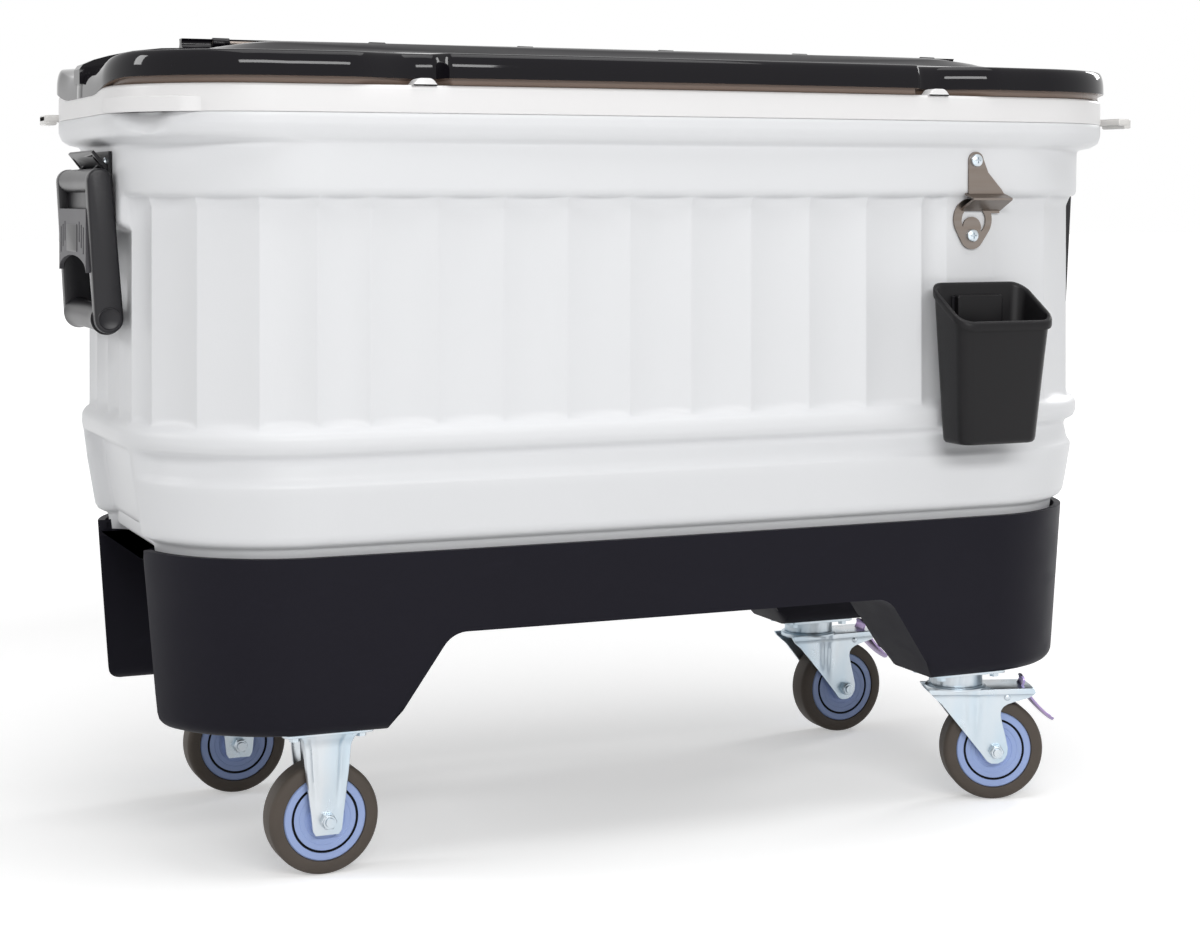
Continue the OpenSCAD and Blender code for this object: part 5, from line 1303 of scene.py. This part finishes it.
class ICE_CHEST_OT_handles(Operator):
    """Makes the two swing handles with their bridges and grips"""

    bl_idname = "ice_chest.handles"
    bl_label = "Handles"

    def execute(self, context):
        fitting = chest().fitting
        low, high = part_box("left_handle")
        pivot = (low.x + fitting.bar_r, high.z - fitting.bar_r)
        grip = (pivot[0] + HANDLE_LEAN, low.z + fitting.grip_r)
        frame_patches = self.arms(fitting, pivot, grip) + self.roll(fitting, pivot) + self.bridge(fitting, pivot)
        sleeve = self.sleeve(fitting, grip)
        for side, turn in (("left", UNTURNED), ("right", HALF_TURN)):
            body = side + "_swing_handle"
            make(side + "_handle_frame", turned(frame_patches, turn), ["black", "bridge"], body,
                 [side + "_handle"], 34.0)
            make(side + "_grip_sleeve", turned(sleeve, turn), ["black"], body,
                 [side + "_grip"])
        return {"FINISHED"}

    def arms(self, fitting, pivot, grip):
        """Two arms whose outline runs round the hinge bar and the grip, each with a round cap at the grip's end."""
        outline = tapered(pivot, fitting.bar_r, grip, fitting.grip_r)
        arm = slab(outline, fitting.arm_t, 2.4 * MM)
        half = fitting.handle_w / 2
        profile = np.array([(0, 0.1), (8.6, 0.1), (9.2, 0.5), (9.6, 1.0), (10.4, 1.0), (10.9, 0.3), (10.9, -0.6),
                            (0, -0.6)]) * MM
        disc = turned([lathe(profile, 48)], FACING_FRONT, (grip[0], -half, grip[1]))
        near = turned(arm, FACING_FRONT, (0, fitting.arm_t - half, 0)) + disc
        return doubled(near, MIRROR_Y)

    def roll(self, fitting, pivot):
        """The hinge bar between the arms and the web under it."""
        half = fitting.handle_w / 2 - fitting.arm_t + 1 * MM
        ends = np.array([(0, -half), (fitting.bar_r - 0.4 * MM, -half), (fitting.bar_r - 0.4 * MM, half), (0, half)])
        bar = turned([lathe(ends, 48)], FACING_FRONT, (pivot[0], 0, pivot[1]))
        foot, top = -34 * MM, -4 * MM
        web = slab(np.array([[-half, foot], [half, foot], [half, top], [-half, top]]), 4 * MM, 0.4 * MM)
        return bar + turned(web, FACING_LEFT, (pivot[0] + 2 * MM, 0, pivot[1]))

    def bridge(self, fitting, pivot):
        """The bridge is a plate over y and z whose lower edge is an arch, and whose face sinks by a depth in three
        slots on each side, each a box in y times a box in z with steep flanks. A plain dark panel lies between
        them."""
        half = fitting.handle_w / 2 - fitting.arm_t + 1 * MM
        edges = np.concatenate([SLOT_PLACES - SLOT_HALF, SLOT_PLACES + SLOT_HALF])
        y = np.unique(np.concatenate([np.linspace(0, half, 25), edges - SLOT_FLANK, edges + SLOT_FLANK]))
        y = np.concatenate([-y[:0:-1], y])
        ends = np.array([[-38 - 2.5 * i, -56 - 5.5 * i] for i in range(3)]) * MM
        z = np.unique(np.concatenate([np.linspace(BRIDGE_FOOT, -26 * MM, 21), ends.ravel() - SLOT_FLANK,
                                      ends.ravel() + SLOT_FLANK]))
        arch = BRIDGE_FOOT + BRIDGE_ARCH * np.sqrt(np.clip(1 - (y / half) ** 2, 0, 1))
        z = np.maximum(z[:, None], arch[None, :])
        y = np.broadcast_to(y, z.shape)
        depth = 0 * z
        for place, (top, bottom) in zip(SLOT_PLACES, ends):
            depth = depth + SLOT_DEPTH * (np.abs(np.abs(y) - place) < SLOT_HALF) * (z < top) * (z > bottom)
        face, back = (np.stack([y, z, d], axis=-1) for d in (BRIDGE_WALL - depth, 0 * z))
        panel = rounded(np.array([[-26, -66], [26, -66], [26, -40], [-26, -40]]) * MM, 2.5 * MM)
        panel = moved(slab(panel, 2 * MM, 0.5 * MM), (0, 0, BRIDGE_WALL - 1.4 * MM))
        # Mark 1 gives the bridge's plate its painted sheen, a lighter grey than the black plastic
        patches = plate(face, back, 1) + panel
        return turned(patches, FACING_LEFT, (pivot[0] - fitting.bar_r + 5 * MM, 0, pivot[1]))

    def sleeve(self, fitting, grip):
        """The grip between the arms: its radius grows towards the ends as the sixth power of the distance."""
        half = fitting.handle_w / 2 - fitting.arm_t + 0.5 * MM
        h = np.linspace(-half, half, 25)
        r = fitting.grip_r - 0.6 * MM + 2.4 * MM * np.abs(h / half) ** 6
        profile = np.column_stack([np.concatenate([[0], r, [0]]), np.concatenate([[-half], h, [half]])])
        return turned([lathe(profile, 48)], FACING_FRONT, (grip[0], 0, grip[1]))


class ICE_CHEST_OT_bin(Operator):
    """Makes the black bin for caps"""

    bl_idname = "ice_chest.bin"
    bl_label = "Bin"

    def execute(self, context):
        plan, fitting = Outline(), chest().fitting
        low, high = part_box("catch_bin")
        across = (low.x + high.x) / 2 + BIN_ASIDE
        top = fitting.bin_h / MM
        body = [(*mix(np.array(BIN_FOOT[-1]), np.array(BIN_RIM[0]) + [0, 0, 0, 0, top], t), t)
                for t in (0.25, 0.5, 0.75)]
        rings = [(*ring, 0.0) for ring in BIN_FOOT] + body
        rings += [(*(np.array(ring) + [0, 0, 0, 0, top]), 1.0) for ring in BIN_RIM]
        rings += [(*ring, 0.0) for ring in BIN_INSIDE]
        grid = np.array([self.ring(fitting, *ring) for ring in rings])
        clip = rounded(np.array([[-27, 4], [25, 4], [25, 143], [-27, 143]]) * MM, 3 * MM)
        patches = [sheet(grid, wrap_columns=True), cap(grid[0]), cap(grid[-1])]
        patches += turned(slab(clip, CLIP_DEPTH, 1.4 * MM), FACING_FRONT, (0, -3 * MM, 0))
        lean = 2 * plan.tub.wall_bow * across / plan.side ** 2
        place = (across, plan.face_y(across, BIN_OUT), low.z)
        make("cap_bin", turned(patches, about_z(lean), place), ["bin"], "bin",
             ["catch_bin"], 42.0)
        return {"FINISHED"}

    def ring(self, fitting, side, back, front, radius, z, slope):
        """A rectangle with quarter circles at its corners, lowered towards the front in proportion to the
        distance."""
        a = np.linspace(0, QUARTER, 8)
        x = fitting.bin_w / 2 - (side + radius) * MM
        ends = (-(back + radius) * MM, (front + radius) * MM - fitting.bin_d)
        corners = [(x, ends[0], 0), (-x, ends[0], 1), (-x, ends[1], 2), (x, ends[1], 3)]
        points = np.concatenate([np.stack([cx + radius * MM * np.cos(a + k * QUARTER),
                                           cy + radius * MM * np.sin(a + k * QUARTER)], axis=1)
                                 for cx, cy, k in corners])
        return raised(points, z * MM + slope * fitting.bin_slope * points[:, 1] / fitting.bin_d)


# Stage

# The strength of the light from all sides, the floor's glow under the chest, and where it grows to full white
AMBIENT = 0.27
FLOOR_GLOW = 0.38
FLOOR_FADE = (1.2, 2.8)
# Each lamp's name, place, the point it faces, its sides and its watts
LAMPS = [
    ("key_softbox", (-0.4, -2.9, 1.75), (-0.2, 0, 0.5), (2.2, 0.36), 42),
    ("left_softbox", (-2.6, 0.5, 1.5), (0, 0, 0.6), (0.35, 0.8), 12),
    ("right_softbox", (2.5, 0.9, 1.5), (0, 0, 0.6), (0.5, 0.8), 16),
    ("top_softbox", (0.1, -0.7, 3.2), (0, 0, 0), (2.4, 1.8), 44),
]


class ICE_CHEST_OT_stage(Operator):
    """Sets the camera, the pale floor, the lamps and the white background"""

    bl_idname = "ice_chest.stage"
    bl_label = "Stage"

    def execute(self, context):
        stage = chest().stage
        scene = context.scene
        scene.view_settings.view_transform = "Standard"
        lens = bpy.data.cameras.new("photo_view")
        lens.lens = stage.lens
        lens.sensor_width = 36
        lens.shift_y = stage.shift
        camera = bpy.data.objects.new("photo_view", lens)
        camera.location = stage.eye
        camera.rotation_euler = (QUARTER, 0, stage.turn)
        scene.collection.objects.link(camera)
        scene.camera = camera
        self.floor(stage)
        self.background(scene)
        for lamp in LAMPS:
            self.lamp(*lamp)
        return {"FINISHED"}

    def floor(self, stage):
        """A wide pale floor that takes the chest's soft shadow and glows faintly to the camera."""
        reach = 30.0
        mesh = bpy.data.meshes.new("studio_floor")
        mesh.from_pydata([(-reach, -reach, 0), (reach, -reach, 0), (reach, reach, 0), (-reach, reach, 0)], [],
                         [(0, 1, 2, 3)])
        floor = bpy.data.objects.new("studio_floor", mesh)
        bpy.context.scene.collection.objects.link(floor)
        paper = Finish("pale_floor", stage.floor, 0.9, Specular_IOR_Level=0.1)
        middle = paper.node("ShaderNodeVectorMath", {"operation": "LENGTH"}, paper.place)
        far = paper.spread(Value(paper, middle.outputs["Value"]), *FLOOR_FADE)
        glow = (far * (1 - FLOOR_GLOW) + FLOOR_GLOW) * paper.seen()
        paper.set("Emission Color", paper.blend(glow, (0.0, 0.0, 0.0, 1.0), (1.0, 1.0, 1.0, 1.0)))
        paper.set("Emission Strength", 1.0)
        mesh.materials.append(paper.material)

    def background(self, scene):
        """A white surrounding for the camera and for reflections, and a softer one for the light it gives."""
        world = bpy.data.worlds.new("white_studio")
        world.use_nodes = True
        scene.world = world
        nodes = Nodes(world.node_tree)
        shade = nodes.tree.nodes["Background"]
        nodes.feed(shade.inputs["Strength"], nodes.spread(nodes.seen(), 0.0, 1.0, To_Min=AMBIENT))
        nodes.feed(shade.inputs["Color"], (1, 1, 1, 1))

    def lamp(self, name, place, aim, sides, watts):
        """A rectangular softbox at a place, facing a point."""
        light = bpy.data.lights.new(name, "AREA")
        light.shape = "RECTANGLE"
        light.size, light.size_y = sides
        light.energy = watts
        lamp = bpy.data.objects.new(name, light)
        lamp.location = place
        direction = np.array(aim, float) - np.array(place, float)
        turn = math.atan2(direction[1], direction[0]) - QUARTER
        tilt = math.atan2(direction[2], math.hypot(direction[0], direction[1]))
        lamp.rotation_euler = (QUARTER + tilt, 0, turn)
        bpy.context.scene.collection.objects.link(lamp)


# The finish of each material slot that a CAD part may name
SLOT_FINISH = {"white_tub": "tub", "foam": "tub", "white_liner": "liner", "dark_base": "base", "smoked_lid": "lid",
               "white_frame": "frame", "clear_tab": "tab", "zinc": "zinc", "tinted_zinc": "tinted",
               "stainless": "stainless", "tyre": "tyre", "blue_hub": "hub", "black_plastic": "black"}


class ICE_CHEST_OT_carried(Operator):
    """Gives every CAD part that is still shown its finish and round edges"""

    bl_idname = "ice_chest.carried"
    bl_label = "Carried parts"

    def execute(self, context):
        slots = {part["node"]: part["material_slot"] for part in frame["record"]["subparts"]}
        for name, node in frame["nodes"].items():
            if node.hide_render:
                continue
            material = finish(SLOT_FINISH[slots[name]])
            node.data.materials.clear()
            node.data.materials.append(material)
            merge = node.modifiers.new("Merge", "WELD")
            merge.merge_threshold = SAME_CAD_POINT
            soften_edges(node, 0.4 * MM)
        return {"FINISHED"}


class ICE_CHEST_PT_panel(Panel):
    """Lists the chest's pieces, sizes and colours"""

    bl_label = "Ice Chest"
    bl_idname = "ICE_CHEST_PT_panel"
    bl_space_type = "VIEW_3D"
    bl_region_type = "UI"
    bl_category = "Ice Chest"

    def draw(self, context):
        layout = self.layout
        for operator in OPERATORS:
            layout.operator(operator.bl_idname)
        groups = context.scene.ice_chest
        for name in ("tub", "lid", "base", "caster", "fitting", "colours", "stage"):
            box = layout.box()
            box.label(text=name.capitalize())
            for key in getattr(groups, name).__annotations__:
                box.prop(getattr(groups, name), key)


OPERATORS = [ICE_CHEST_OT_tub, ICE_CHEST_OT_lids, ICE_CHEST_OT_lid_frame, ICE_CHEST_OT_base, ICE_CHEST_OT_casters,
             ICE_CHEST_OT_handles, ICE_CHEST_OT_bin, ICE_CHEST_OT_carried, ICE_CHEST_OT_stage]
CLASSES = [TubSizes, LidSizes, BaseSizes, CasterSizes, FittingSizes, ChestColours, StageSettings, IceChest,
           *OPERATORS, ICE_CHEST_PT_panel]


def register():
    """Makes the classes and the scene's sizes known to Blender."""
    for item in CLASSES:
        bpy.utils.register_class(item)
    bpy.types.Scene.ice_chest = PointerProperty(type=IceChest)


def unregister():
    """Takes them away again."""
    del bpy.types.Scene.ice_chest
    for item in reversed(CLASSES):
        bpy.utils.unregister_class(item)


def main():
    """Builds every piece in order."""
    register()
    for operator in OPERATORS:
        group, name = operator.bl_idname.split(".")
        getattr(getattr(bpy.ops, group), name)()


if __name__ == "__main__":
    main()
